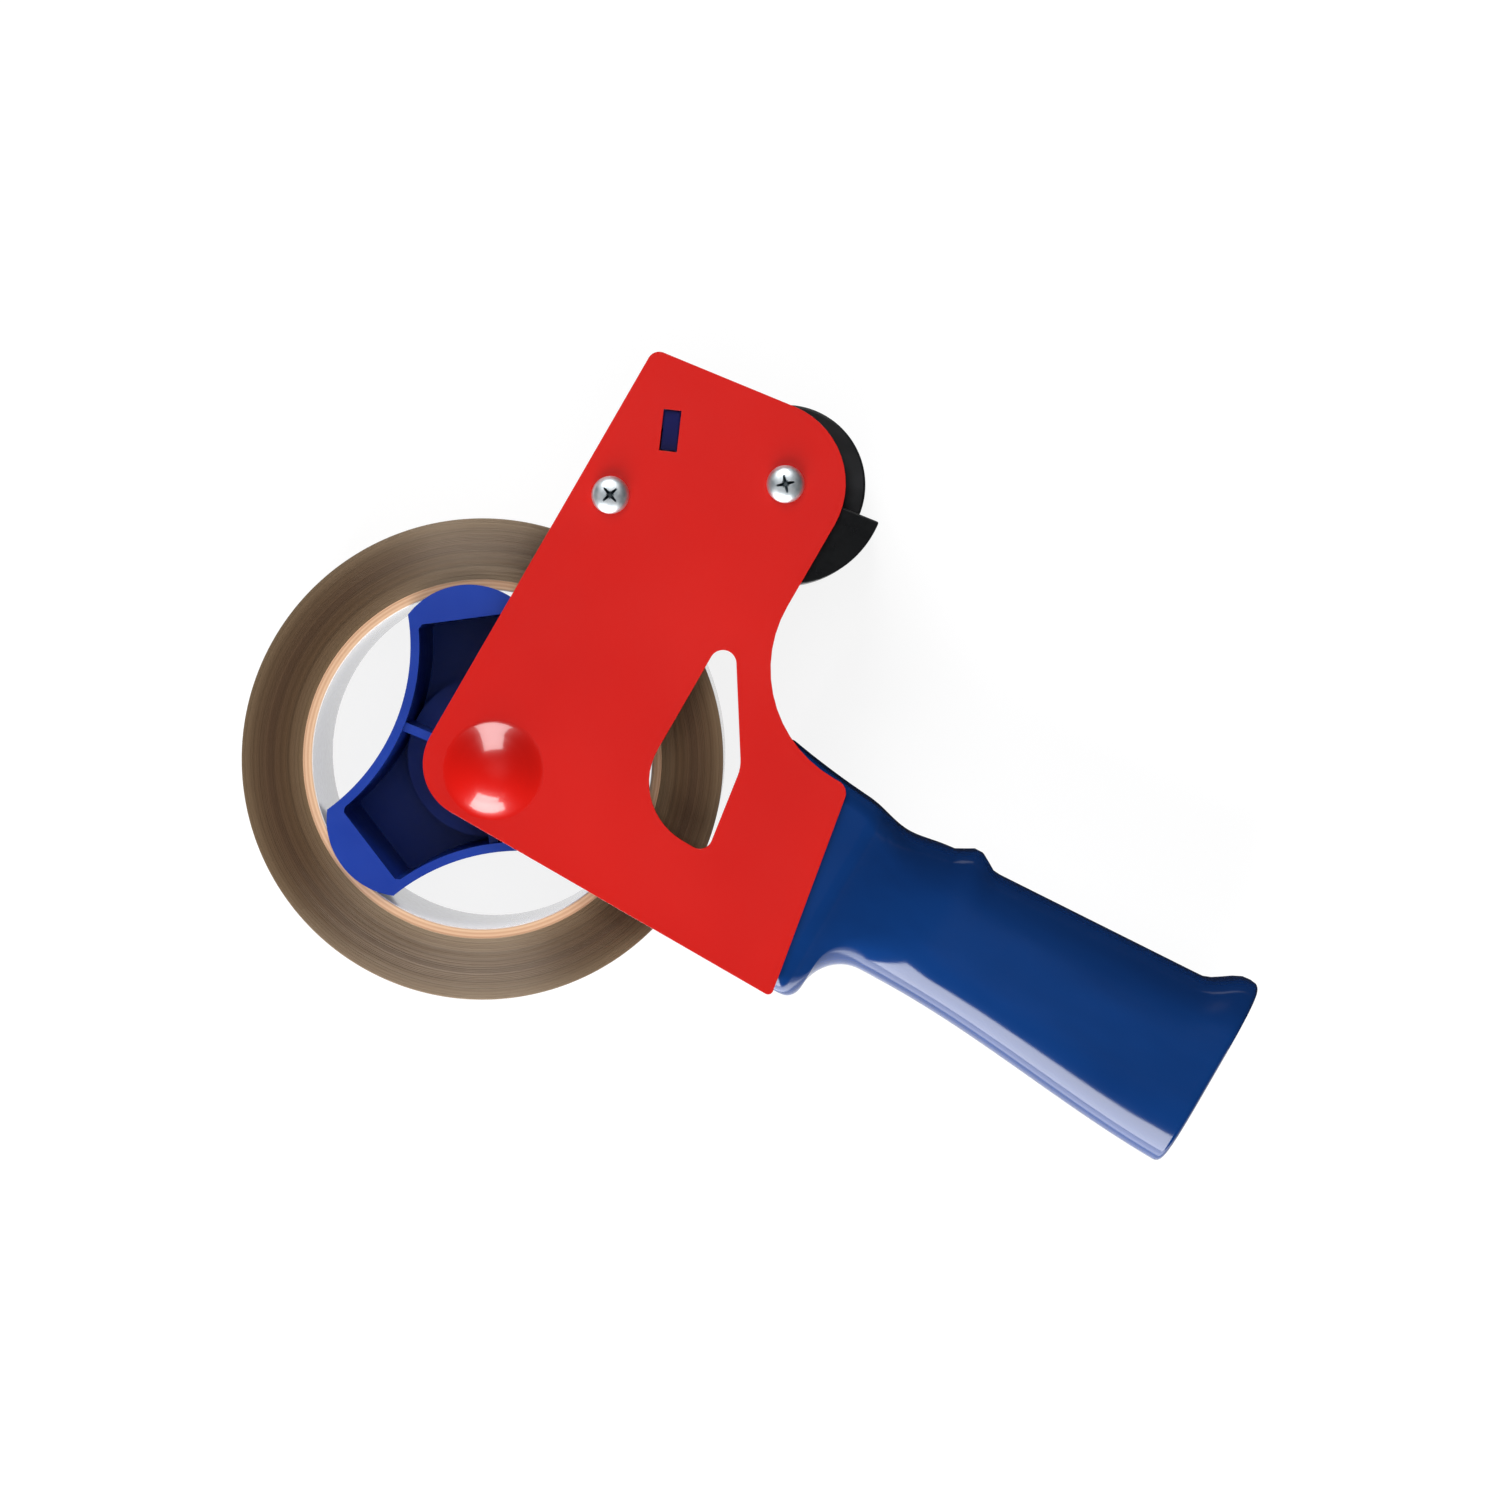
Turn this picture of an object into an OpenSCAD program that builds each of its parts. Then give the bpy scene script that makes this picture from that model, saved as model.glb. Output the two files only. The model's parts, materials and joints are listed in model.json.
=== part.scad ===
// Hand-held packing tape dispenser, loaded with one roll of tape.
// Z is the hub axis and z = 0 is the open side, on which the tool lies. X runs along the grip,
// and Y runs from the roll to the nose, where the roller and the blade are.

/* [Tape roll] */
// Width of the tape and its core
tape_w = 50; // [44:1:60]
// Outer diameter of the full roll
roll_d = 108; // [96:1:124]
// Bore of the cardboard core
core_bore = 76; // [74:0.5:78]
// Wall of the cardboard core
core_wall = 2.2; // [1.6:0.2:5]

/* [Hub] */
// Radial play between the hub's lobes and the core
hub_play = 0.5; // [0.3:0.1:1.2]
// Distance from the axis to the hub's waists
waist_r = 21; // [20.5:0.5:24]
// Half the angle that each lobe's end covers
lobe_half_angle = 19; // [16:1:24]
// Radius of the round end of each lobe
lobe_end_r = 15.4; // [14:0.2:18]
// How far the stop flange reaches past each lobe's end
stop_lip = 1.8; // [1.2:0.2:2.4]
// Wall thickness of the hub
hub_wall = 2; // [1.4:0.2:2.4]
// Depth of the closed segment at each lobe's end
segment_depth = 3.8; // [3.6:0.2:6]
// Angle of the first lobe about the axis
lobe_angle = 7.5; // [0:0.5:120]
// Height of the hub's open face above the resting face
hub_face = 6; // [4:0.5:9]
// Radius of the hub's boss
boss_r = 10; // [8:0.5:12]
// Radius of the well for the tension knob
well_r = 16.5; // [16:0.5:17.5]

/* [Hub axle and tension knob] */
// Diameter of the hub axle
axle_d = 8; // [6:0.5:9]
// Radial clearance of every running fit
running_fit = 0.05; // [0.02:0.01:0.1]
// Radius of the axle's welded flange
axle_flange_r = 12; // [11:0.5:12]
// Thickness of the axle's welded flange
axle_flange_t = 2; // [1.5:0.5:3]
// Thickness of the friction washer between flange and hub
friction_washer_t = 1; // [0.6:0.2:2]
// Outer diameter of the tension knob
knob_d = 26; // [22:1:28]
// Height of the tension knob
knob_h = 9.5; // [9:0.5:11]
// Number of finger flutes round the knob
knob_flutes = 9; // [6:1:12]
// Thickness of the knob's closed end
knob_cap = 2; // [1.6:0.2:2.4]
// How far the knob moves up the axle from loose to tight
knob_travel = 2.5; // [1:0.25:3]
// Length of the tension spring
spring_len = 12; // [9:0.5:15]
// Wire diameter of the tension spring
spring_wire = 1.6; // [1:0.2:2]
// Number of turns of the tension spring
spring_turns = 4.5; // [3:0.5:5]

/* [Side plate] */
// Thickness of the steel sheet
plate_t = 1.5; // [1:0.1:2.5]
// Gap between the roll and the sheet
plate_gap = 5; // [5:0.5:8]
// Radius of the plate's corner round the hub axle
hub_corner_r = 12.4; // [12.2:0.2:14]
// Distance from the hub axis down to the plate's lower edge
plate_low = 13.4; // [12.4:0.2:15]
// Slope of the plate's top edge in degrees
top_slope = 7.6; // [4:0.2:9]
// Radius of the plate's nose
nose_r = 18.5; // [15:0.5:20]
// Radius of the throat between nose and grip
throat_r = 28; // [20:1:32]
// Radius of the dome over the axle
dome_r = 9.8; // [8:0.1:9.8]
// Height of the dome over the axle
dome_h = 3.2; // [2:0.2:4]
// Width of the window along the grip
window_w = 21; // [17:1:22]
// Height of the window
window_h = 49; // [44:1:52]

/* [Roller] */
// Diameter of the rubber roller
roller_d = 35.8; // [30:0.2:38]
// Thickness of the roller's rubber
rubber_t = 4.4; // [3:0.2:6]
// Distance of the roller from the hub axle along the grip
roller_x = 28.1; // [26:0.1:32]
// Least gap between the roll and the roller
roller_gap = 19.7; // [18:0.1:26]
// Play between the roller and its guard
guard_play = 1.2; // [0.8:0.1:2]
// Wall of the roller guard
guard_wall = 3.4; // [2:0.2:4]

/* [Blade carrier] */
// Angle of the carrier's wall in degrees
wall_angle = 113.4; // [111:0.2:116]
// Wall thickness of the carrier's blade seat
seat_wall = 3.4; // [2.8:0.2:4]
// Length of the locating slot in the plate
slot_len = 9.3; // [7:0.1:11]
// Clearance between slot and tab
slot_play = 0.3; // [0.2:0.05:0.5]
// Radius of the carrier's screw boss
carrier_boss_r = 5.6; // [5:0.1:6]
// Thickness of the blade
blade_t = 0.8; // [0.5:0.1:1.2]
// Height of the blade from foot to teeth
blade_h = 13; // [11:0.5:15]
// Spacing of the blade's teeth
tooth_pitch = 2; // [1:0.5:3]
// Depth of the blade's teeth
tooth_depth = 1.6; // [0.8:0.2:2]
// Diameter of the tongue's pivot pin
tongue_pin_d = 2.4; // [2:0.1:2.8]
// Length of the tongue
tongue_len = 23; // [19:0.5:24]
// Thickness of the tongue
tongue_t = 0.8; // [0.6:0.1:1.2]

/* [Screws] */
// Head diameter of the two plate screws
screw_head_d = 8.4; // [7:0.1:9]
// Head height of the two plate screws
screw_head_h = 2.8; // [2:0.1:3.4]
// Thread diameter of the carrier's screw
carrier_screw_d = 4; // [3:0.2:4.4]
// Thread diameter of the roller's screw
roller_screw_d = 5; // [4:0.2:5]

/* [Handle] */
// Gap between the roll and the handle's root
root_gap = 4; // [3:0.5:8]
// Length of the root's flat seat under the plate
root_len = 25; // [22:1:30]
// Depth of the root below the hub axis
root_drop = 12.2; // [12:0.1:13]
// Length of the handle from the seat to its end
grip_len = 95.6; // [90:0.2:115]
// Height of the grip
grip_h = 34.3; // [30:0.1:38]
// Thickness of the grip
grip_t = 32; // [28:1:36]
// Height of the grip's lower edge above the hub axis
grip_low = 0.6; // [-1:0.1:3]
// Squareness of the grip's oval section, 1 an ellipse and less is squarer
oval_power = 0.62; // [0.6:0.02:0.9]
// Height of the flare at the grip's end
flare_h = 4.8; // [2:0.2:6]
// Height of the finger stop
stop_h = 2.7; // [1:0.1:4]
// Wall thickness of the handle's shells
shell_t = 2.6; // [2:0.1:3]
// Height of the seam above the middle of the grip
seam_up = 7.5; // [0:0.5:9]
// Gap at the seam between the two shells
seam_gap = 0.2; // [0.1:0.05:0.4]
// Thread diameter of the handle's screws
shell_screw_d = 3; // [2.5:0.1:3.5]

/* [Hidden] */

$fn = 96;
eps = 0.01;

// Heights along the hub axis
plate_z = tape_w + plate_gap;
plate_top = plate_z + plate_t;
hub_top = plate_z - axle_flange_t - friction_washer_t;
washer_t = 1.2;
washer_rim = 5;
axle_foot = knob_cap + knob_travel + 0.4;
spring_foot = knob_h + washer_t;
boss_foot = spring_foot + spring_len + washer_t;
core_r = core_bore / 2;
stop_gap = 0.3;
flange_foot = tape_w + stop_gap;
roll_r = roll_d / 2;
lobe_r = core_r - hub_play;
axle_r = axle_d / 2;

// Waist arc through the waist and both neighbouring lobes' corners, before their ends are rounded
waist_span = 60 - lobe_half_angle;
waist_c = (lobe_r * lobe_r - waist_r * waist_r) / (2 * (lobe_r * cos(waist_span) - waist_r));
waist_arc_r = waist_c - waist_r;
chord = lobe_r - segment_depth;

// Nose pieces stand clear of the roll
roller_r = roller_d / 2;
roller_y = sqrt(pow(roll_r + roller_gap + roller_r, 2) - roller_x * roller_x);
roller_at = [roller_x, roller_y];
axle_end = 0.6;
clip_foot = axle_end + 0.2;
clip_t = 0.8;
clip_groove = 0.5;
roller_foot = clip_foot + clip_t + 0.4;
roller_top = plate_z - 3;
guard_web_t = 1.4;
guard_in = roller_r + guard_play;
guard_out = guard_in + guard_wall;

// The carrier's wall runs through the middle of its locating tab
along = [cos(wall_angle), sin(wall_angle)];
across = [-along.y, along.x];
tab_from_roller = [-28.2, -2.5];
screw_from_tab = [-4.4, -19.1];
tongue_from_tab = [10.3, -12.2];
tab_at = roller_at + tab_from_roller;
carrier_screw_at = tab_at + screw_from_tab;
tongue_at = tab_at + tongue_from_tab;
wall_down = 20;
wall_up = 12;
carrier_foot = 0.8;
tab_sunk = 0.9;
cheek_t = 2.4;
blade_up = wall_up + 2.8;
blade_screw_up = wall_up - 5.2;
carrier_screw_len = 14;
roller_screw_len = 12;
tongue_pin_r = tongue_pin_d / 2;
knuckle_r = tongue_pin_r + 1.2;
to_roller = roller_at - tongue_at;
tongue_gap = 0.4;
tongue_angle = atan2(to_roller.y, to_roller.x)
    + asin((roller_r + tongue_gap + tongue_t / 2) / norm(to_roller));

// Plate outline
apex_r = 2.7;
nose_right = roller_x + 14;
apex_y = tab_at.y + 14;
right_x = roll_r + root_gap + root_len - 0.6;
right_lean = 8.3;
plate_corner_r = 3;
low_corner_r = 1.2;
dome_at = [3.6, -0.4];
throat_y = grip_low + grip_h + 0.9;
window_x = 54;
window_y = 6.9;

// Handle
root_x = roll_r + root_gap;
root_end = root_x + root_len;
neck_x = root_end + 4.5;
neck_len = 9.8;
neck_r = 3;
end_x = root_end + grip_len;
grip_mid = (tape_w + 2) / 2;
seam_z = grip_mid + seam_up;
stop_x = root_end + 25.4;
rise_x = stop_x + 5;
flare_x = end_x - 12;
grip_rise = 3.2;
waist_x = root_end + 9;
waist_dip = 1.6;
waist_reach = 11;
end_drop = 4.3;
slope_len = 27;
ring_steps = 5;
stud_d = 4;
stud_len = 10;
stud_at = [[root_x + 9, -3], [root_x + 9, grip_h - 6.5]];
shell_boss_r = 3.8;
shell_head_r = 3;
shell_head_h = 2;
head_pocket = 7;
shell_screw_at = [[root_x + 19, -3.2], [root_x + 9, grip_h / 2 - 2], [stop_x + 8, grip_h / 2 + 1],
    [end_x - 13, grip_h / 2 + 1]];

plate_red = [0.80, 0.10, 0.07];
handle_blue = [0.07, 0.18, 0.47];
hub_blue = [0.10, 0.22, 0.60];
zinc = [0.72, 0.74, 0.76];
steel = [0.62, 0.64, 0.66];
black = [0.05, 0.05, 0.06];

// Small helpers

function unit(v) = v / norm(v);
function ease(t) = t <= 0 ? 0 : t >= 1 ? 1 : t * t * (3 - 2 * t);
function fall(t) = t <= 0 ? 1 : t >= 1 ? 0 : (1 - t) * (1 - t);
function span(a, b, n) = [for (i = [0:n - 1]) a + (b - a) * i / n];
function turn(a) = a > 180 ? a - 360 : a < -180 ? a + 360 : a;

// Round corner of an outline at point b, between its neighbours a and c
function round_corner(a, b, c, r) =
    let (u = unit(a - b), v = unit(c - b), half = acos(u * v) / 2)
    let (m = b + unit(u + v) * r / sin(half))
    let (p = b + u * r / tan(half) - m, q = b + v * r / tan(half) - m)
    let (start = atan2(p.y, p.x), sweep = turn(atan2(q.y, q.x) - start))
    let (n = max(3, ceil(abs(sweep) / 7)))
    [for (i = [0:n]) m + r * [cos(start + sweep * i / n), sin(start + sweep * i / n)]];

// Outline whose corners [x, y, radius] are rounded
function round_outline(p) = let (n = len(p)) [for (i = [0:n - 1])
    let (a = p[(i + n - 1) % n], b = p[i], c = p[(i + 1) % n])
    each round_corner([a.x, a.y], [b.x, b.y], [c.x, c.y], b.z)];

module slab(z0, z1) {
    translate([0, 0, z0]) linear_extrude(z1 - z0) children();
}

module rod(r, z0, z1) {
    translate([0, 0, z0]) cylinder(r = r, h = z1 - z0);
}

module tube(r_out, r_in, z0, z1) {
    difference() {
        rod(r_out, z0, z1);
        rod(r_in, z0 - 1, z1 + 1);
    }
}

module at(p) {
    translate([p.x, p.y, 0]) children();
}

// Closed helix of round wire, flattened to a full turn at each end
module coil(r, wire, z0, z1, turns, sides, steps) {
    n = ceil(turns * steps);
    rise = z1 - z0 - wire;
    flat = 0.75 / turns;
    function lift(t) = t < flat ? 0 : t > 1 - flat ? 1 : (t - flat) / (1 - 2 * flat);
    points = [for (i = [0:n]) for (k = [0:sides - 1])
        let (t = i / n, a = 360 * turns * t, b = 360 * k / sides)
        let (d = r + wire / 2 * cos(b))
        [d * cos(a), d * sin(a), z0 + wire / 2 + rise * lift(t) + wire / 2 * sin(b)]];
    faces = concat([[for (k = [0:sides - 1]) k]],
        [for (i = [0:n - 1]) for (k = [0:sides - 1]) let (j = (k + 1) % sides)
            each [[i * sides + k, (i + 1) * sides + k, (i + 1) * sides + j],
                [i * sides + k, (i + 1) * sides + j, i * sides + j]]],
        [[for (k = [sides - 1:-1:0]) n * sides + k]]);
    polyhedron(points, faces);
}

// Pan-head screw with a cross recess, seated at z = 0 with its thread pointing down
module pan_screw(head_d, head_h, thread_d, length) {
    head_r = head_d / 2;
    ball = (head_r * head_r + head_h * head_h * 0.64) / (1.6 * head_h);
    difference() {
        union() {
            rod(head_r, 0, head_h * 0.2);
            intersection() {
                translate([0, 0, head_h - ball]) sphere(ball);
                rod(head_r, head_h * 0.2, head_h + 1);
            }
            rod(thread_d / 2, -length, 0);
        }
        for (a = [0, 90]) rotate(a) translate([0, 0, head_h + 1]) {
            cube([head_r * 1.1, head_r * 0.24, 2 + head_h], center = true);
            cube([head_r * 0.55, head_r * 0.36, 2 + head_h * 1.5], center = true);
        }
    }
}

// Side plate and what holds it

plate_outline = round_outline([
    [-hub_corner_r, -plate_low, hub_corner_r],
    [right_x, -plate_low, low_corner_r],
    [right_x - right_lean, throat_y, plate_corner_r],
    [nose_right, throat_y, throat_r],
    [nose_right, apex_y + (nose_right + hub_corner_r) * tan(top_slope), nose_r],
    [-hub_corner_r, apex_y, apex_r]]);

window_outline = round_outline([
    [window_x - window_w, window_y, 15],
    [window_x, window_y, 2.8],
    [window_x - window_h * 0.06, window_y + window_h * 0.42, 9],
    [window_x - window_w, window_y + window_h, 3]]);

module side_plate() {
    ball = (dome_r * dome_r + dome_h * dome_h) / (2 * dome_h);
    ball_z = plate_top + dome_h - ball;
    color(plate_red) difference() {
        union() {
            slab(plate_z, plate_top) polygon(plate_outline);
            at(dome_at) intersection() {
                translate([0, 0, ball_z]) sphere(ball);
                rod(dome_r, plate_top - plate_t / 2, plate_top + dome_h + 1);
            }
        }
        at(dome_at) intersection() {
            translate([0, 0, ball_z]) sphere(ball - plate_t);
            rod(dome_r - plate_t, plate_z - 1, plate_top + dome_h);
        }
        slab(plate_z - 1, plate_top + 1) polygon(window_outline);
        at(carrier_screw_at) rod(carrier_screw_d / 2 + 0.15, plate_z - 1, plate_top + 1);
        at(roller_at) rod(roller_screw_d / 2 + 0.15, plate_z - 1, plate_top + 1);
        at(tab_at) rotate(wall_angle) slab(plate_z - 1, plate_top + 1)
            square([slot_len, seat_wall + 2 * slot_play], center = true);
    }
}

module plate_studs() {
    color(steel) for (p = stud_at) at(p) {
        rod(stud_d / 2, plate_z - stud_len, plate_z);
    }
}

module stud_nuts() {
    bore = stud_d / 2 + running_fit;
    nut_top = plate_z - shell_t - stud_d / 5;
    color(zinc) for (p = stud_at) at(p) {
        tube(stud_d * 1.1, bore, nut_top, plate_z - shell_t);
        difference() {
            slab(nut_top - stud_d * 0.8, nut_top) circle(r = stud_d, $fn = 6);
            rod(bore, nut_top - stud_d, plate_z - shell_t);
        }
    }
}

// Handle, two shells that meet at the seam. Its section is a box with round corners at the root
// and turns into an oval along the grip.

function low_y(x, w) = w - root_drop
    + neck_r * (1 - sqrt(1 - pow(min(1, max(0, (x - neck_x + w) / neck_r + 1)), 2)))
    + (x < neck_x - w ? 0 : (grip_low + root_drop - neck_r)
        * sqrt(1 - pow(max(0, 1 - (x - neck_x + w) / neck_len), 2)))
    - end_drop * ease((x - stop_x) / (end_x - stop_x));
function high_y(x, w) = grip_low + grip_h - w
    + 3.2 * fall((x - root_x) / (neck_x + 6 - root_x))
    + stop_h * ease(1 - abs(x - stop_x) / 6)
    - waist_dip * ease(1 - abs(x - waist_x) / waist_reach)
    + grip_rise * min(1, max(0, (x - rise_x) / (flare_x - rise_x)))
    + flare_h * ease((x - flare_x) / (end_x - flare_x - 2));
function low_z(x, w) = grip_mid - grip_t / 2 + w - 2 * fall((x - root_end) / slope_len);
function high_z(x, w) = grip_mid + grip_t / 2 - w
    + (plate_z - grip_mid - grip_t / 2) * fall((x - root_end + w) / slope_len);
function oval(x) = 0.9 * ease((x - root_end + 4) / slope_len);
function power(v, n) = sign(v) * pow(abs(v), n);

function handle_ring(x, w) =
    let (r = max(0.8, 4 - w), m = oval(x))
    let (y = [low_y(x, w), high_y(x, w)], z = [low_z(x, w), high_z(x, w)])
    [for (q = [0:3]) for (i = [0:ring_steps])
        let (a = 90 * (q + i / ring_steps), b = 90 * q + 5 + 80 * i / ring_steps)
        let (box_y = (q == 0 || q == 3 ? y[1] - r : y[0] + r) + r * cos(a))
        let (box_z = (q < 2 ? z[1] - r : z[0] + r) + r * sin(a))
        let (oval_y = (y[0] + y[1]) / 2 + (y[1] - y[0]) / 2 * power(cos(b), oval_power))
        let (oval_z = (z[0] + z[1]) / 2 + (z[1] - z[0]) / 2 * power(sin(b), oval_power))
        [x, box_y + (oval_y - box_y) * m, box_z + (oval_z - box_z) * m]];

function handle_stations(w) = concat(
    span(root_x + w + 1, neck_x - neck_r - w, 3),
    [for (i = [0:3]) neck_x - w - neck_r + neck_r * sin(25 * i)],
    [for (i = [0:6]) neck_x - w + neck_len * (1 - cos(15 * i))],
    span(stop_x - 7, stop_x + 7, 7),
    span(stop_x + 7, flare_x, 4),
    span(flare_x, end_x - w - 1, 5),
    [end_x - w - 1]);

module handle_form(w) {
    xs = handle_stations(w);
    rings = concat([handle_ring(root_x + w, w + 0.7)], [for (x = xs) handle_ring(x, w)],
        [handle_ring(end_x - w, w + 0.7)]);
    n = len(rings[0]);
    m = len(rings);
    faces = concat([[for (i = [0:n - 1]) i]],
        [for (j = [0:m - 2]) for (i = [0:n - 1]) let (k = (i + 1) % n)
            each [[j * n + i, (j + 1) * n + k, j * n + k],
                [j * n + i, (j + 1) * n + i, (j + 1) * n + k]]],
        [[for (i = [n - 1:-1:0]) (m - 1) * n + i]]);
    polyhedron([for (r = rings) each r], faces);
}

module handle_half(side) {
    far = 200;
    intersection() {
        difference() {
            handle_form(0);
            handle_form(shell_t);
        }
        translate([0, -far / 2, side > 0 ? seam_z + seam_gap / 2 : seam_z - seam_gap / 2 - far])
            cube([end_x + 10, far, far]);
    }
}

module handle_near_shell() {
    color(handle_blue) difference() {
        union() {
            handle_half(1);
            for (p = shell_screw_at) at(p) rod(shell_boss_r, seam_z, high_z(p.x, shell_t / 2));
        }
        for (p = shell_screw_at) at(p)
            rod(shell_screw_d / 2, seam_z - 1, high_z(p.x, shell_t + 1.2));
        for (p = stud_at) at(p) rod(stud_d / 2 + 0.2, plate_z - shell_t - 1, plate_z + 1);
    }
}

module handle_far_shell() {
    color(handle_blue) difference() {
        union() {
            handle_half(-1);
            for (p = shell_screw_at) at(p)
                rod(shell_boss_r + 1.4, low_z(p.x, shell_t / 2), seam_z);
        }
        for (p = shell_screw_at) at(p) {
            rod(shell_screw_d / 2 + 0.2, 0, seam_z + 1);
            rod(shell_head_r + 0.4, 0, low_z(p.x, 0) + head_pocket);
        }
    }
}

module handle_screws() {
    color(zinc) for (p = shell_screw_at) {
        seat = low_z(p.x, 0) + head_pocket;
        translate([p.x, p.y, seat]) mirror([0, 0, 1])
            pan_screw(2 * shell_head_r, shell_head_h, shell_screw_d - 2 * running_fit,
                high_z(p.x, shell_t + 1.6) - seat);
    }
}

// Hub axle, brake and tension knob

module hub_axle() {
    color(steel) {
        rod(axle_flange_r, plate_z - axle_flange_t, plate_z);
        rod(axle_r, axle_foot + 0.6, plate_z - axle_flange_t);
        rod(axle_r - 0.8, axle_foot, axle_foot + 0.6);
    }
}

module friction_washer() {
    color(black)
        tube(boss_r - 0.5, axle_r + running_fit, hub_top, plate_z - axle_flange_t);
}

module spring_washer(z) {
    color(zinc) tube(axle_r + washer_rim, axle_r + running_fit, z, z + washer_t);
}

module hub_washer() {
    spring_washer(spring_foot + spring_len);
}

module knob_washer() {
    spring_washer(knob_h);
}

module tension_spring() {
    color(steel)
        coil(axle_r + 0.6 + spring_wire / 2, spring_wire, spring_foot, spring_foot + spring_len,
            spring_turns, 8, 20);
}

module nut_form(play, z0, z1) {
    slab(z0, z1) circle(r = axle_r * 1.85 + play, $fn = 6);
}

module tension_knob() {
    flute_r = knob_d * 0.13;
    color(hub_blue) difference() {
        union() {
            rod(knob_d / 2, 1, knob_h - 1);
            cylinder(r1 = knob_d / 2 - 1, r2 = knob_d / 2, h = 1);
            translate([0, 0, knob_h - 1]) cylinder(r1 = knob_d / 2, r2 = knob_d / 2 - 1, h = 1);
        }
        for (i = [0:knob_flutes - 1]) rotate(360 * i / knob_flutes)
            translate([knob_d / 2 + flute_r * 0.45, 0, 0]) rod(flute_r, -1, knob_h + 1);
        rod(axle_r + running_fit, knob_cap, knob_h);
        nut_form(0, knob_cap + 0.6, knob_h + 1);
    }
}

module knob_insert() {
    color(zinc) difference() {
        nut_form(0, knob_cap + 0.6, knob_h);
        rod(axle_r + running_fit, 0, knob_h + 1);
    }
}

// Three-lobed hub, moulded open towards the plate

module waist_cuts(grow) {
    for (i = [0:2]) rotate(lobe_angle + 60 + 120 * i) translate([waist_c, 0])
        circle(r = waist_arc_r + grow, $fn = 180);
}

// Outline of the lobes, inset from their walls, with their round ends grown by a lip
module hub_outline(inset, lip = 0) {
    difference() {
        union() {
            circle(r = lobe_r * 0.75);
            for (i = [0:2]) rotate(lobe_angle + 120 * i) translate([lobe_r - lobe_end_r, 0])
                circle(r = lobe_end_r - inset + lip);
        }
        waist_cuts(inset);
    }
}

module lobe_ends(chord) {
    for (i = [0:2]) rotate(lobe_angle + 120 * i) translate([chord, -lobe_r])
        square([2 * lobe_r, 2 * lobe_r]);
}

module hub_rim() {
    color(hub_blue) {
        slab(hub_face, flange_foot) difference() {
            hub_outline(0);
            hub_outline(hub_wall);
        }
        slab(hub_face, hub_face + hub_wall) difference() {
            hub_outline(hub_wall / 2);
            lobe_ends(chord);
            circle(well_r + hub_wall);
        }
        slab(hub_face, flange_foot) intersection() {
            hub_outline(hub_wall / 2);
            difference() {
                lobe_ends(chord - hub_wall);
                lobe_ends(chord);
            }
        }
    }
}

// Flange that closes the lobes' ends and keeps the roll off the plate
module hub_flange() {
    color(hub_blue) slab(flange_foot, hub_top) {
        difference() {
            hub_outline(0, stop_lip);
            hub_outline(hub_wall);
        }
        intersection() {
            hub_outline(hub_wall / 2);
            lobe_ends(chord - hub_wall);
        }
    }
}

// Boss with its foot and three ribs out to the rim's waists
module hub_core() {
    color(hub_blue) difference() {
        union() {
            rod(well_r + hub_wall, boss_foot, boss_foot + hub_wall);
            rod(boss_r, boss_foot, hub_top);
            slab(boss_foot, hub_top - 3) difference() {
                for (i = [0:2]) rotate(lobe_angle + 60 + 120 * i)
                    translate([0, -hub_wall / 2]) square([waist_r, hub_wall]);
                waist_cuts(hub_wall);
            }
        }
        rod(axle_r + running_fit, 0, plate_z);
    }
}

// Round well that takes the knob and its spring, below the boss
module hub_well() {
    color(hub_blue) tube(well_r + hub_wall, well_r, hub_face, boss_foot);
}

// Roll of tape

module tape_core() {
    color([0.72, 0.58, 0.42]) tube(core_r + core_wall, core_r, 0, tape_w);
}

module tape_winding() {
    color([0.45, 0.36, 0.28]) tube(roll_r, core_r + core_wall, 0, tape_w);
}

// Blade carrier, blade and tongue

module wall_strip(s0, s1, half) {
    polygon([for (p = [[s0, -half], [s1, -half], [s1, half], [s0, half]])
        tab_at + along * p[0] + across * p[1]]);
}

module carrier_outline() {
    half = seat_wall / 2;
    top = tab_at + across * half + along * (blade_up - blade_h - 0.8);
    foot = tab_at - across * half - along * wall_down;
    polygon([carrier_screw_at + [-carrier_boss_r * 0.94, carrier_boss_r * 0.34], top,
        tab_at - across * half, foot, carrier_screw_at + [0, -carrier_boss_r]]);
    at(carrier_screw_at) circle(carrier_boss_r);
}

// Open cell between the screw boss and the blade seat
module carrier_cell() {
    wall = 2.2;
    difference() {
        polygon([carrier_screw_at + [-1.2, carrier_boss_r - 1.4],
            tab_at + across * (seat_wall / 2) - along * 2.4 - [1.0, 2.4],
            tab_at + across * (seat_wall / 2) - along * (wall_down - 3.6)]);
        at(carrier_screw_at) circle(carrier_boss_r - wall / 2);
    }
}

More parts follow.
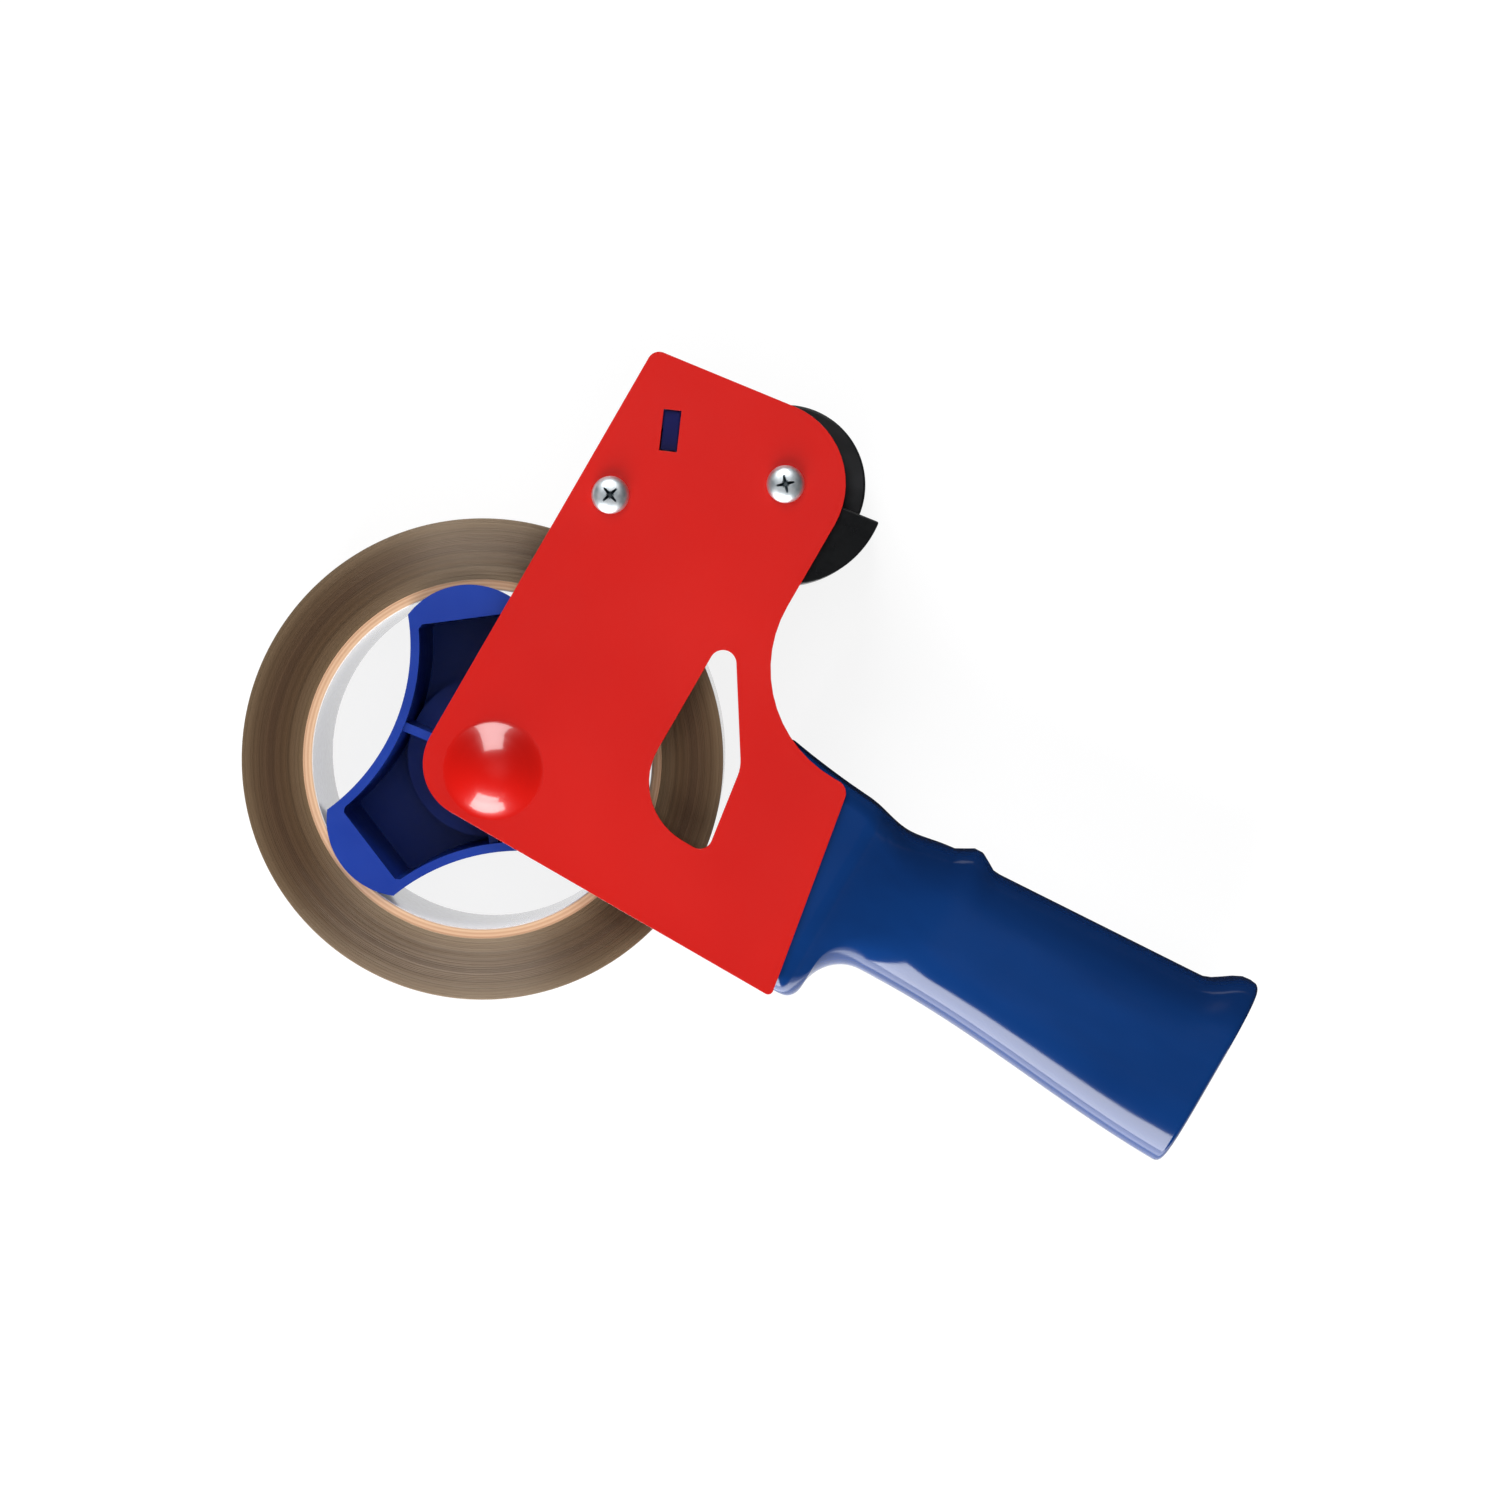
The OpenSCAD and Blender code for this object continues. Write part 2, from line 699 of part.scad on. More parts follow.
module blade_carrier() {
    color(handle_blue) difference() {
        union() {
            slab(carrier_foot, plate_z) carrier_outline();
            slab(carrier_foot, plate_z) wall_strip(-wall_down, wall_up, seat_wall / 2);
            for (z = [carrier_foot, plate_z - cheek_t]) slab(z, z + cheek_t) {
                at(tongue_at) circle(knuckle_r + 0.6);
                polygon([tongue_at + [1.2, -knuckle_r - 0.2], tongue_at + [-0.4, knuckle_r + 0.5],
                    tab_at - along * 6, tab_at - along * wall_down]);
            }
            at(tab_at) rotate(wall_angle) slab(plate_z - 1, plate_top - tab_sunk)
                square([slot_len - 2 * slot_play, seat_wall], center = true);
        }
        for (z = [carrier_foot + cheek_t, (carrier_foot + plate_z) / 2 + 1])
            slab(z, z + (plate_z - carrier_foot) / 2 - cheek_t - 1) carrier_cell();
        slab(carrier_foot - 1, carrier_foot + cheek_t + 1) carrier_cell();
        at(carrier_screw_at) rod(carrier_screw_d / 2, plate_z - carrier_screw_len - 2, plate_z + 1);
        at(tongue_at) rod(tongue_pin_r, carrier_foot + 0.8, plate_z - 0.8);
        for (z = blade_screw_z) blade_screw_place(z)
            rod(blade_screw_r, -seat_wall - 1, 1);
    }
}

module carrier_screw() {
    color(zinc) translate([carrier_screw_at.x, carrier_screw_at.y, plate_top]) rotate(20)
        pan_screw(screw_head_d, screw_head_h, carrier_screw_d - 2 * running_fit, carrier_screw_len);
}

// The blade lies on the wall's outer face, with its teeth past the wall's end
blade_len = tape_w;
blade_foot = carrier_foot + 0.4;
blade_screw_r = 1.5;
blade_screw_z = [blade_foot + blade_len * 0.2, blade_foot + blade_len * 0.8];

// Puts a piece on the blade seat: its X along the wall, its Z out of the wall's outer face
module on_seat(lift) {
    p = tab_at + across * (seat_wall / 2 + lift);
    translate([p.x, p.y, 0]) rotate(wall_angle) rotate([-90, 0, 0]) children();
}

module blade_screw_place(z) {
    on_seat(0) translate([blade_screw_up, -z, 0]) children();
}

module blade() {
    foot = blade_up - blade_h;
    teeth = floor(blade_len / tooth_pitch);
    step = blade_len / teeth;
    color(steel) difference() {
        on_seat(0) linear_extrude(blade_t) polygon(concat(
            [[foot, -blade_foot - blade_len], [foot, -blade_foot]],
            [for (i = [0:teeth - 1]) each [[blade_up - tooth_depth, -blade_foot - step * i],
                [blade_up, -blade_foot - step * (i + 0.5)]]],
            [[blade_up - tooth_depth, -blade_foot - blade_len]]));
        for (z = blade_screw_z) blade_screw_place(z) rod(blade_screw_r + 0.2, -1, blade_t + 1);
    }
}

module blade_screws() {
    color(zinc) for (z = blade_screw_z) blade_screw_place(z) translate([0, 0, blade_t])
        pan_screw(5.6, 1.9, 2 * (blade_screw_r - running_fit), seat_wall + blade_t - 0.6);
}

module tongue_pin() {
    color(steel) at(tongue_at)
        rod(tongue_pin_r - running_fit, carrier_foot + 0.8, plate_z - 0.8);
}

tongue_foot = carrier_foot + cheek_t + 0.5;
tongue_top = plate_z - cheek_t - 0.5;
spring_slot = 8;
tongue_mid = (tongue_foot + tongue_top) / 2;

module tongue() {
    lift = knuckle_r - tongue_t / 2;
    color([0.82, 0.83, 0.84]) at(tongue_at) rotate(tongue_angle) difference() {
        union() {
            rod(knuckle_r, tongue_foot, tongue_top);
            translate([0, -tongue_t / 2, tongue_foot])
                cube([tongue_len, tongue_t, tongue_top - tongue_foot]);
            translate([tongue_len, 0, tongue_foot]) rod(tongue_t * 0.75, 0, tongue_top - tongue_foot);
        }
        rod(tongue_pin_r, 0, plate_z);
        translate([-2 * knuckle_r, -2 * knuckle_r, tongue_mid - spring_slot / 2])
            cube([3.4 * knuckle_r, 4 * knuckle_r, spring_slot]);
    }
}

module tongue_spring() {
    wire = 0.6;
    color(steel) at(tongue_at)
        coil(tongue_pin_r + 0.2 + wire / 2, wire, tongue_mid - spring_slot / 2 + 0.4,
            tongue_mid + spring_slot / 2 - 0.4, 8, 6, 12);
}

// Roller, its axle and its guard

module roller_axle() {
    color(steel) at(roller_at) difference() {
        union() {
            rod(axle_r, axle_end, plate_z - guard_web_t);
            rod(axle_r + 2.2, roller_top + 0.3, plate_z - guard_web_t);
        }
        rod(roller_screw_d / 2, plate_z - roller_screw_len - 2, plate_z);
        tube(axle_r + 1, axle_r - clip_groove, clip_foot, clip_foot + clip_t);
    }
}

module roller_screw() {
    color(zinc) translate([roller_at.x, roller_at.y, plate_top]) rotate(-25)
        pan_screw(screw_head_d, screw_head_h, roller_screw_d - 2 * running_fit, roller_screw_len);
}

module roller_clip() {
    color(zinc) at(roller_at) difference() {
        tube(axle_r + 2.4, axle_r - clip_groove + running_fit, clip_foot, clip_foot + clip_t);
        for (a = [0:60:300]) rotate(a) translate([axle_r + 0.4, -0.5, 0])
            cube([4, 1, 4]);
    }
}

module roller_core() {
    rim = roller_r - rubber_t;
    color(black) at(roller_at) difference() {
        union() {
            tube(rim, rim - 2, roller_foot, roller_top);
            tube(axle_r + 3, axle_r + running_fit, roller_foot, roller_top);
            tube(rim - 1, axle_r + 2, roller_top - 4, roller_top - 2);
            for (a = [0:60:300]) rotate(a) translate([axle_r + 1, -0.8, roller_foot + 1])
                cube([rim - axle_r - 2, 1.6, roller_top - roller_foot - 3.5]);
        }
        rod(axle_r + running_fit, 0, plate_z);
    }
}

module roller_sleeve() {
    color([0.09, 0.09, 0.1]) at(roller_at)
        tube(roller_r, roller_r - rubber_t, roller_foot, roller_top - 0.4);
}

// Wedge of the guard's sweep, from below the roller to just above its middle
module guard_wedge() {
    far = 2 * guard_out;
    polygon(concat([[0, 0]], [for (a = [-105, -48.5, 8]) far * [cos(a), sin(a)]]));
}

module roller_guard() {
    color(black) at(roller_at) difference() {
        slab(roller_foot + 1, plate_z) {
            intersection() {
                circle(guard_out);
                guard_wedge();
            }
            circle(axle_r + 4);
        }
        rod(guard_in, 0, plate_z - guard_web_t);
        rod(roller_screw_d / 2 + 0.15, 0, plate_z + 1);
    }
}

side_plate();
plate_studs();
stud_nuts();
handle_near_shell();
handle_far_shell();
handle_screws();
hub_axle();
friction_washer();
hub_washer();
tension_spring();
knob_washer();
tension_knob();
knob_insert();
hub_rim();
hub_flange();
hub_core();
hub_well();
tape_core();
tape_winding();
blade_carrier();
carrier_screw();
blade();
blade_screws();
tongue_pin();
tongue();
tongue_spring();
roller_axle();
roller_screw();
roller_clip();
roller_core();
roller_sleeve();
roller_guard();
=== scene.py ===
import bpy
import bmesh
import json
import math
from mathutils import Matrix, Vector


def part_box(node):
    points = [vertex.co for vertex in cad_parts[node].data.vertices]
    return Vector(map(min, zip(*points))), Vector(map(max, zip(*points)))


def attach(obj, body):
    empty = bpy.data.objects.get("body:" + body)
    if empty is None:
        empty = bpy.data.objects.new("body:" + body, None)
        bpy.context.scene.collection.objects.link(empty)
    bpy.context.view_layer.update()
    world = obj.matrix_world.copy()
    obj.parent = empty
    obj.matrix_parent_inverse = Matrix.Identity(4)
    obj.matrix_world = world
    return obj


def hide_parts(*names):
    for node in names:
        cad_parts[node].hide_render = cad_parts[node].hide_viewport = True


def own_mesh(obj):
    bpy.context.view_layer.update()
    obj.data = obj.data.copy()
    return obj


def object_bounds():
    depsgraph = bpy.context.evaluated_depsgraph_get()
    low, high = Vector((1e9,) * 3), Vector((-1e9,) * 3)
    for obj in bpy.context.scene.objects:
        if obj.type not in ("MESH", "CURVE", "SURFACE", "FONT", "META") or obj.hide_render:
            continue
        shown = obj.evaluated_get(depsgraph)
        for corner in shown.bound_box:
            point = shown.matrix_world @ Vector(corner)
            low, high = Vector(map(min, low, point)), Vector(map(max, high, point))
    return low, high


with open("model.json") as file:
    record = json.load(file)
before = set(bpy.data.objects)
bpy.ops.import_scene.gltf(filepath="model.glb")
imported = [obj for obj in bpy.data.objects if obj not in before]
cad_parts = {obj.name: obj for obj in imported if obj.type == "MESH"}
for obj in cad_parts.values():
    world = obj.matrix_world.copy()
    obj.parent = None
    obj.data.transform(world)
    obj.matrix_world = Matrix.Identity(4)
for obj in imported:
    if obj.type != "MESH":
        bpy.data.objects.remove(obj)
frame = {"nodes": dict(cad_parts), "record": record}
scene = bpy.context.scene
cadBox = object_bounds()
mm = 0.001
bodyOf = {n: b for b, ns in frame["record"]["behaviour"]["bodies"].items() for n in ns}
slotOf = {s["node"]: s["material_slot"] for s in frame["record"]["subparts"]}


def hexColour(code):  # sRGB hex to linear
    def linear(v):
        return v / 12.92 if v <= 0.04045 else ((v + 0.055) / 1.055) ** 2.4
    return tuple(linear(int(code[i:i + 2], 16) / 255) for i in (0, 2, 4)) + (1.0,)


def addNode(tree, kind, values=None, links=None, **settings):
    node = tree.nodes.new(kind)
    for name, value in settings.items():
        setattr(node, name, value)
    for key, value in (values or {}).items():
        node.inputs[key].default_value = value
    for key, source in (links or {}).items():
        tree.links.new(source, node.inputs[key])
    return node


def outOf(tree, kind, values=None, links=None, **settings):  # the first output of a new node
    return addNode(tree, kind, values, links, **settings).outputs[0]


def startMaterial(name, **shader):
    material = bpy.data.materials.new(name)
    material.use_nodes = True
    tree = material.node_tree
    for key, value in shader.items():
        tree.nodes["Principled BSDF"].inputs[key.replace("_", " ")].default_value = value
    return material, tree, addNode(tree, "ShaderNodeTexCoord").outputs["Object"]


def finished(material, colour, roughness, normal, **more):
    tree = material.node_tree
    links = {"Base Color": colour, "Roughness": roughness, "Normal": normal}
    links.update({key.replace("_", " "): source for key, source in more.items()})
    for key, source in links.items():
        tree.links.new(source, tree.nodes["Principled BSDF"].inputs[key])
    return material


def noiseAt(tree, place, size, detail=2.0, stretch=None):  # size of one blotch in metres
    if stretch:
        place = outOf(tree, "ShaderNodeMapping", {"Scale": stretch}, {"Vector": place})
    noise = addNode(tree, "ShaderNodeTexNoise", {"Scale": 1 / size, "Detail": detail}, {"Vector": place})
    return noise.outputs["Fac"]


def rampOf(tree, factor, stops):
    ramp = addNode(tree, "ShaderNodeValToRGB", links={"Fac": factor})
    points = ramp.color_ramp.elements
    while len(points) < len(stops):
        points.new(0.5)
    for point, (at, code) in zip(points, stops):
        point.position = at
        point.color = hexColour(code)
    return ramp.outputs["Color"]


def span(tree, factor, low, high, fromLow=0.0, fromHigh=1.0):
    return addNode(tree, "ShaderNodeMapRange", {"From Min": fromLow, "From Max": fromHigh,
                   "To Min": low, "To Max": high}, {"Value": factor}).outputs["Result"]


def mixColours(tree, a, b, factor, blend="MIX"):
    mixed = addNode(tree, "ShaderNodeMix", data_type="RGBA", blend_type=blend)
    if isinstance(factor, float):
        mixed.inputs["Factor"].default_value = factor
    else:
        tree.links.new(factor, mixed.inputs["Factor"])
    tree.links.new(a, mixed.inputs["A"])
    tree.links.new(b, mixed.inputs["B"])
    return mixed.outputs["Result"]


def bumpFrom(tree, height, depth, strength=1.0, under=None):
    links = {"Height": height}
    if under:
        links["Normal"] = under
    return addNode(tree, "ShaderNodeBump", {"Distance": depth, "Strength": strength}, links).outputs["Normal"]


def redEnamel():
    # stove enamel on pressed sheet steel: even deep red, a faint orange peel, soft gloss
    material, tree, place = startMaterial("redStoveEnamel", IOR=1.5, Coat_Weight=0.8, Coat_Roughness=0.05)
    tone = rampOf(tree, noiseAt(tree, place, 0.045, 3), [(0.3, "B60901"), (0.7, "BE0D02")])
    peel = noiseAt(tree, place, 0.0016, 2)  # real peel is about 1 mm, drawn a little coarser to show
    fine = noiseAt(tree, place, 0.0003, 1)
    rough = span(tree, noiseAt(tree, place, 0.02, 4), 0.2, 0.3)
    return finished(material, tone, rough,
                    bumpFrom(tree, fine, 0.000003, 0.4, bumpFrom(tree, peel, 0.000012, 0.5)))


def bluePolypropylene():
    # injection-moulded polypropylene: dense navy blue, smooth mould skin with faint flow clouds
    material, tree, place = startMaterial("mouldedNavyPolypropylene", IOR=1.49)
    flow = noiseAt(tree, place, 0.03, 4, (0.5, 1.6, 1.6))
    tone = rampOf(tree, flow, [(0.25, "062758"), (0.55, "082E64"), (0.8, "0C3470")])
    grain = noiseAt(tree, place, 0.0007, 2)  # spark-eroded mould grain, about 0.3 mm
    wave = noiseAt(tree, place, 0.014, 1)  # sink and flow ripples
    rough = span(tree, noiseAt(tree, place, 0.006, 4), 0.1, 0.17)
    return finished(material, tone, rough,
                    bumpFrom(tree, grain, 0.000004, 0.5, bumpFrom(tree, wave, 0.00004, 0.5)))


def slotShadedNylon():
    # moulded nylon of the blade carrier: a deep ultramarine, duller than the handle; partly its own colour
    # and partly painted shade, darkened for the tab that sits recessed in the plate's slot
    material, tree, place = startMaterial("ultramarineNylonWithPaintedSlotShade", IOR=1.53)
    tone = rampOf(tree, noiseAt(tree, place, 0.01, 3), [(0.3, "07083C"), (0.7, "0A0B48")])
    rough = span(tree, noiseAt(tree, place, 0.004, 3), 0.24, 0.34)
    return finished(material, tone, rough, bumpFrom(tree, noiseAt(tree, place, 0.0008, 2), 0.000012, 0.5))


def bluePolystyrene():
    # moulded hub plastic: brighter blue, thin walls that glow a little at their rims
    material, tree, place = startMaterial("mouldedBluePolystyrene", IOR=1.52, Subsurface_Weight=0.12,
                                          Subsurface_Scale=0.0012)
    tone = rampOf(tree, noiseAt(tree, place, 0.02, 3), [(0.3, "0D2D84"), (0.7, "133691")])
    rough = span(tree, noiseAt(tree, place, 0.005, 3), 0.26, 0.4)
    return finished(material, tone, rough, bumpFrom(tree, noiseAt(tree, place, 0.0012, 2), 0.00001, 0.5))


def zincPlate():
    # bright zinc over turned steel: cool grey-blue, a slightly cloudy mirror
    material, tree, place = startMaterial("brightZincPlate", Metallic=1.0)
    cloud = noiseAt(tree, place, 0.0012, 3)
    tone = rampOf(tree, cloud, [(0.3, "D6E0E6"), (0.7, "EEF3F6")])
    openness = addNode(tree, "ShaderNodeAmbientOcclusion", {"Distance": 0.0016}).outputs["AO"]
    paintedRecessShade = rampOf(tree, openness, [(0.28, "566168"), (0.5, "DDE3E6"), (0.7, "FFFFFF")])  # painted shade: the colour darkens in the cross recess and round the head's foot, where light is hidden
    return finished(material, mixColours(tree, tone, paintedRecessShade, 1.0, "MULTIPLY"), span(tree, cloud, 0.4, 0.52),
                    bumpFrom(tree, noiseAt(tree, place, 0.0004, 2), 0.000008, 0.5))


def drawnSteel():
    # drawn bar and wire: darker grey with fine lengthwise lines and a film of oil
    material, tree, place = startMaterial("drawnSteel", Metallic=1.0)
    lines = noiseAt(tree, place, 0.0006, 3, (1.0, 1.0, 0.08))
    return finished(material, rampOf(tree, lines, [(0.3, "8E9295"), (0.7, "ADB0B2")]),
                    span(tree, lines, 0.24, 0.42), bumpFrom(tree, lines, 0.000012, 0.6))


def groundSteel():
    # hardened spring strip, ground flat: pale grey with fine grinding lines across the strip
    material, tree, place = startMaterial("groundSpringSteel", Metallic=1.0, Anisotropic=0.4)
    lines = noiseAt(tree, place, 0.0005, 3, (1.0, 1.0, 0.05))
    rough = span(tree, noiseAt(tree, place, 0.004, 3), 0.2, 0.36)
    return finished(material, rampOf(tree, lines, [(0.3, "A9AEB1"), (0.7, "C8CCCE")]), rough,
                    bumpFrom(tree, lines, 0.00001, 0.6))


def blackPolyamide():
    # glass-filled polyamide: near black, satin, with the fibres faintly showing as grain
    material, tree, place = startMaterial("blackPolyamide", IOR=1.53)
    grain = noiseAt(tree, place, 0.0009, 3)
    rough = span(tree, noiseAt(tree, place, 0.004, 3), 0.24, 0.34)
    return finished(material, rampOf(tree, grain, [(0.3, "050607"), (0.7, "0B0C0E")]), rough,
                    bumpFrom(tree, grain, 0.00001, 0.4))


def rollerRubber():
    # ground nitrile rubber: dull black, soft sheen, fine grinding marks round the roller
    material, tree, place = startMaterial("groundNitrileRubber", IOR=1.52, Sheen_Weight=0.04,
                                          Sheen_Roughness=0.5)
    marks = noiseAt(tree, place, 0.0008, 3, (0.2, 0.2, 2.0))
    return finished(material, rampOf(tree, marks, [(0.3, "0B0C0E"), (0.7, "141518")]),
                    span(tree, marks, 0.34, 0.46), bumpFrom(tree, marks, 0.00003, 0.6))


def vulcanFibre():
    # vulcanised fibre washer: brown-black, dry, slightly fibrous
    material, tree, place = startMaterial("vulcanisedFibre", IOR=1.5)
    fibres = noiseAt(tree, place, 0.0006, 4)
    return finished(material, rampOf(tree, fibres, [(0.3, "241C17"), (0.7, "3B2E26")]),
                    span(tree, fibres, 0.62, 0.8), bumpFrom(tree, fibres, 0.00004, 0.6))


coreBore = min(v.co.xy.length for v in frame["nodes"]["tape_core"].data.vertices)  # its radius


def radiusOf(tree, place):  # distance from the roll's axis, in metres
    flat = outOf(tree, "ShaderNodeVectorMath", {1: (1.0, 1.0, 0.0)}, {0: place}, operation="MULTIPLY")
    return addNode(tree, "ShaderNodeVectorMath", links={0: flat}, operation="LENGTH").outputs["Value"]


def ringNoise(tree, radius, size, detail):  # noise that changes only with the radius
    return noiseAt(tree, outOf(tree, "ShaderNodeCombineXYZ", links={"X": radius}), size, detail)


def woundTape():
    # the side of wound film: hundreds of edges that read as brown rings, with a dull glue haze
    material, tree, place = startMaterial("woundTapeEdge", IOR=1.49, Anisotropic=0.9,
                                          Anisotropic_Rotation=0.25, Specular_IOR_Level=0.8,
                                          Specular_Tint=(1.0, 0.86, 0.7, 1.0))
    tangent = outOf(tree, "ShaderNodeTangent", direction_type="RADIAL", axis="Z")
    radius = radiusOf(tree, place)
    depth = span(tree, radius, 0.0, 1.0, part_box("tape_core")[1].x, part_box("tape_winding")[1].x)
    body = rampOf(tree, depth, [(0.0, "7D664C"), (0.12, "6F5943"), (0.3, "5C4632"), (0.55, "584231"),
                                (0.8, "614C38"), (1.0, "806A52")])
    bands = ringNoise(tree, radius, 0.0016, 3)
    fine = ringNoise(tree, radius, 0.00018, 2)  # one layer is 0.05 mm, drawn in groups of four
    shade = outOf(tree, "ShaderNodeMath", {1: 0.5}, {0: bands, 2: span(tree, fine, 0.0, 0.5)},
                  operation="MULTIPLY_ADD")
    streak = rampOf(tree, shade, [(0.3, "8C8C8C"), (0.5, "C4C4C4"), (0.72, "F4F2EF")])
    return finished(material, mixColours(tree, body, streak, 0.75, "MULTIPLY"),
                    span(tree, noiseAt(tree, place, 0.01, 3), 0.36, 0.52),
                    bumpFrom(tree, fine, 0.0003, 1.0, bumpFrom(tree, bands, 0.0002, 0.7)),
                    Tangent=tangent)  # the edges run round the roll, so the sheen lies across them


def filmFace():
    # brown polypropylene film on the roll's outside: glossy, with slight bubbles in the glue
    material, tree, place = startMaterial("brownPackingFilm", IOR=1.49, Coat_Weight=0.6, Coat_Roughness=0.06)
    cloud = noiseAt(tree, place, 0.02, 4, (1.0, 1.0, 0.4))
    ripple = noiseAt(tree, place, 0.009, 2, (1.0, 1.0, 0.25))
    return finished(material, rampOf(tree, cloud, [(0.3, "6A4C30"), (0.7, "7C5B3B")]),
                    span(tree, cloud, 0.16, 0.28), bumpFrom(tree, ripple, 0.00012, 0.4))


def coreBoard():
    # spiral-wound grey board: matt ply lines on the cut ends, and a pale glazed liner in the bore
    material, tree, place = startMaterial("spiralWoundCoreBoard", IOR=1.5, Coat_Roughness=0.08)
    radius = radiusOf(tree, place)
    plies = span(tree, radius, 0.0, 1.0, coreBore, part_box("tape_core")[1].x)
    cut = rampOf(tree, plies, [(0.0, "DCCABA"), (0.16, "BE9878"), (0.3, "CCA98A"), (0.5, "B58C6C"),
                               (0.7, "C8A384"), (0.86, "AD8466"), (1.0, "C0997A")])
    fibres = noiseAt(tree, place, 0.0012, 5)
    liner = rampOf(tree, fibres, [(0.3, "E2DCD8"), (0.7, "F0ECEA")])
    inside = span(tree, radius, 1.0, 0.0, coreBore + 0.00004, coreBore + 0.00022)
    return finished(material, mixColours(tree, cut, liner, inside), span(tree, fibres, 0.7, 0.9),
                    bumpFrom(tree, fibres, 0.00001, 0.5), Coat_Weight=inside)


finishes = {
    "red_paint": redEnamel(), "handle_plastic": bluePolypropylene(), "hub_plastic": bluePolystyrene(),
    "zinc_plate": zincPlate(), "steel": drawnSteel(), "blade_steel": groundSteel(),
    "black_plastic": blackPolyamide(), "roller_rubber": rollerRubber(), "fibre": vulcanFibre(),
    "core_board": coreBoard(), "brown_tape": woundTape()}
outerFilm = filmFace()
print("materials made:", len(finishes) + 1)


def newPiece(name, mesh, nodes, material=None):  # a new piece that stands in for these CAD nodes
    obj = bpy.data.objects.new(name, mesh)
    scene.collection.objects.link(obj)
    mesh.materials.clear()
    mesh.materials.append(material or finishes[slotOf[nodes[0]]])
    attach(obj, bodyOf[nodes[0]])
    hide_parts(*nodes)
    return obj


def meshFrom(bm, name):
    mesh = bpy.data.meshes.new(name)
    bm.to_mesh(mesh)
    bm.free()
    return mesh


def mergeMesh(mesh, distance=0.000002):  # welds the triangles and drops the edges inside the flats
    bm = bmesh.new()
    bm.from_mesh(mesh)
    bmesh.ops.remove_doubles(bm, verts=bm.verts, dist=distance)
    bmesh.ops.dissolve_limit(bm, angle_limit=math.radians(0.6), verts=bm.verts, edges=bm.edges)
    bm.to_mesh(mesh)
    bm.free()
    return mesh


def mergedCopy(node):
    return mergeMesh(frame["nodes"][node].data.copy())


def bridge(bm, a, b):  # a band of faces between two rings of as many points
    for k in range(len(a)):
        n = (k + 1) % len(a)
        bm.faces.new((a[k], a[n], b[n], b[k]))


def smoothShade(mesh, angle=38):
    mesh.shade_smooth()
    mesh.set_sharp_from_angle(angle=math.radians(angle))


def softenEdges(obj, width, angle=38):
    bevel = obj.modifiers.new("edgeRadius", "BEVEL")
    bevel.width = width
    bevel.segments = 2
    bevel.limit_method = "ANGLE"
    bevel.angle_limit = math.radians(angle)
    bevel.use_clamp_overlap = True
    even = obj.modifiers.new("flatFaces", "WEIGHTED_NORMAL")  # keeps wide flats flat beside their radii
    even.weight = 100


def addBoolean(obj, operation, tool):
    change = obj.modifiers.new("cut", "BOOLEAN")
    change.operation = operation
    change.solver = "EXACT"
    change.object = tool


def joinMeshes(name, objs):  # exact union of temporary objects, kept as a plain mesh
    for other in objs[1:]:
        addBoolean(objs[0], "UNION", other)
    return bakeMesh(name, objs[0], objs)


def bakeMesh(name, obj, spares):  # what the modifiers make, as a plain mesh; the spares are removed
    evaluated = obj.evaluated_get(bpy.context.evaluated_depsgraph_get())
    mesh = bpy.data.meshes.new_from_object(evaluated)
    mesh.name = name
    for spare in spares:
        bpy.data.objects.remove(spare)
    return mesh


def looseObject(mesh, name="loose"):
    obj = bpy.data.objects.new(name, mesh)
    scene.collection.objects.link(obj)
    return obj


edgeRadii = {  # millimetres: the small radius that each process leaves on its edges
    "stud_nuts": 0.15, "hub_axle": 0.3, "friction_washer": 0.08, "hub_washer": 0.12,
    "knob_washer": 0.12, "tension_knob": 0.45, "knob_insert": 0.1, "blade": 0.06,
    "tongue": 0.08, "roller_axle": 0.3, "roller_clip": 0.08, "roller_core": 0.25, "roller_guard": 0.4}

for node, radius in edgeRadii.items():
    mesh = mergedCopy(node)
    smoothShade(mesh)
    piece = newPiece("dressed_" + node, mesh, [node])
    softenEdges(piece, radius * mm)
print("dressed pieces:", len(edgeRadii))

for node in ("plate_studs", "tongue_pin"):  # these keep their own mesh and only take a finish
    frame["nodes"][node].data.materials.clear()
    frame["nodes"][node].data.materials.append(finishes[slotOf[node]])


carrierSettings = {"edge": 0.35, "shoulderOut": 1.1, "shoulderThick": 0.7, "gap": 0.02}  # millimetres


def makeCarrier(given):
    # a thin shoulder round the tab closes the slot's play from below
    mesh = mergedCopy("blade_carrier")
    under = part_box("side_plate")[0].z
    tab = [v.co.copy() for v in mesh.vertices if v.co.z > under + 0.1 * mm]
    middle = sum(tab, Vector()) / len(tab)
    bm = bmesh.new()
    for point in tab:
        out = Vector((point.x - middle.x, point.y - middle.y))
        out = out.normalized() * (out.length + given["shoulderOut"] * mm)
        for depth in (given["gap"], given["shoulderThick"]):
            bm.verts.new((middle.x + out.x, middle.y + out.y, under - depth * mm))
    bmesh.ops.remove_doubles(bm, verts=bm.verts, dist=0.00001)
    bmesh.ops.convex_hull(bm, input=bm.verts)
    joined = joinMeshes("moulded_blade_carrier",
                        [looseObject(mesh), looseObject(meshFrom(bm, "shoulder"))])
    smoothShade(joined)
    softenEdges(newPiece("moulded_blade_carrier", joined, ["blade_carrier"], slotShadedNylon()),
                given["edge"] * mm)


makeCarrier(carrierSettings)
print("blade carrier moulded")


plateSettings = {  # millimetres: the dome and the soft foot that pressing leaves round it
    "domeAt": (3.6, -0.4), "domeRadius": 9.8, "domeHeight": 3.2, "footOut": 1.5, "footIn": 2.4,
    "steps": 8, "sides": 120, "lapIn": 0.4, "lapOut": 0.2, "sink": 0.7, "lift": 0.03, "skin": 0.05,
    "edge": 0.3}


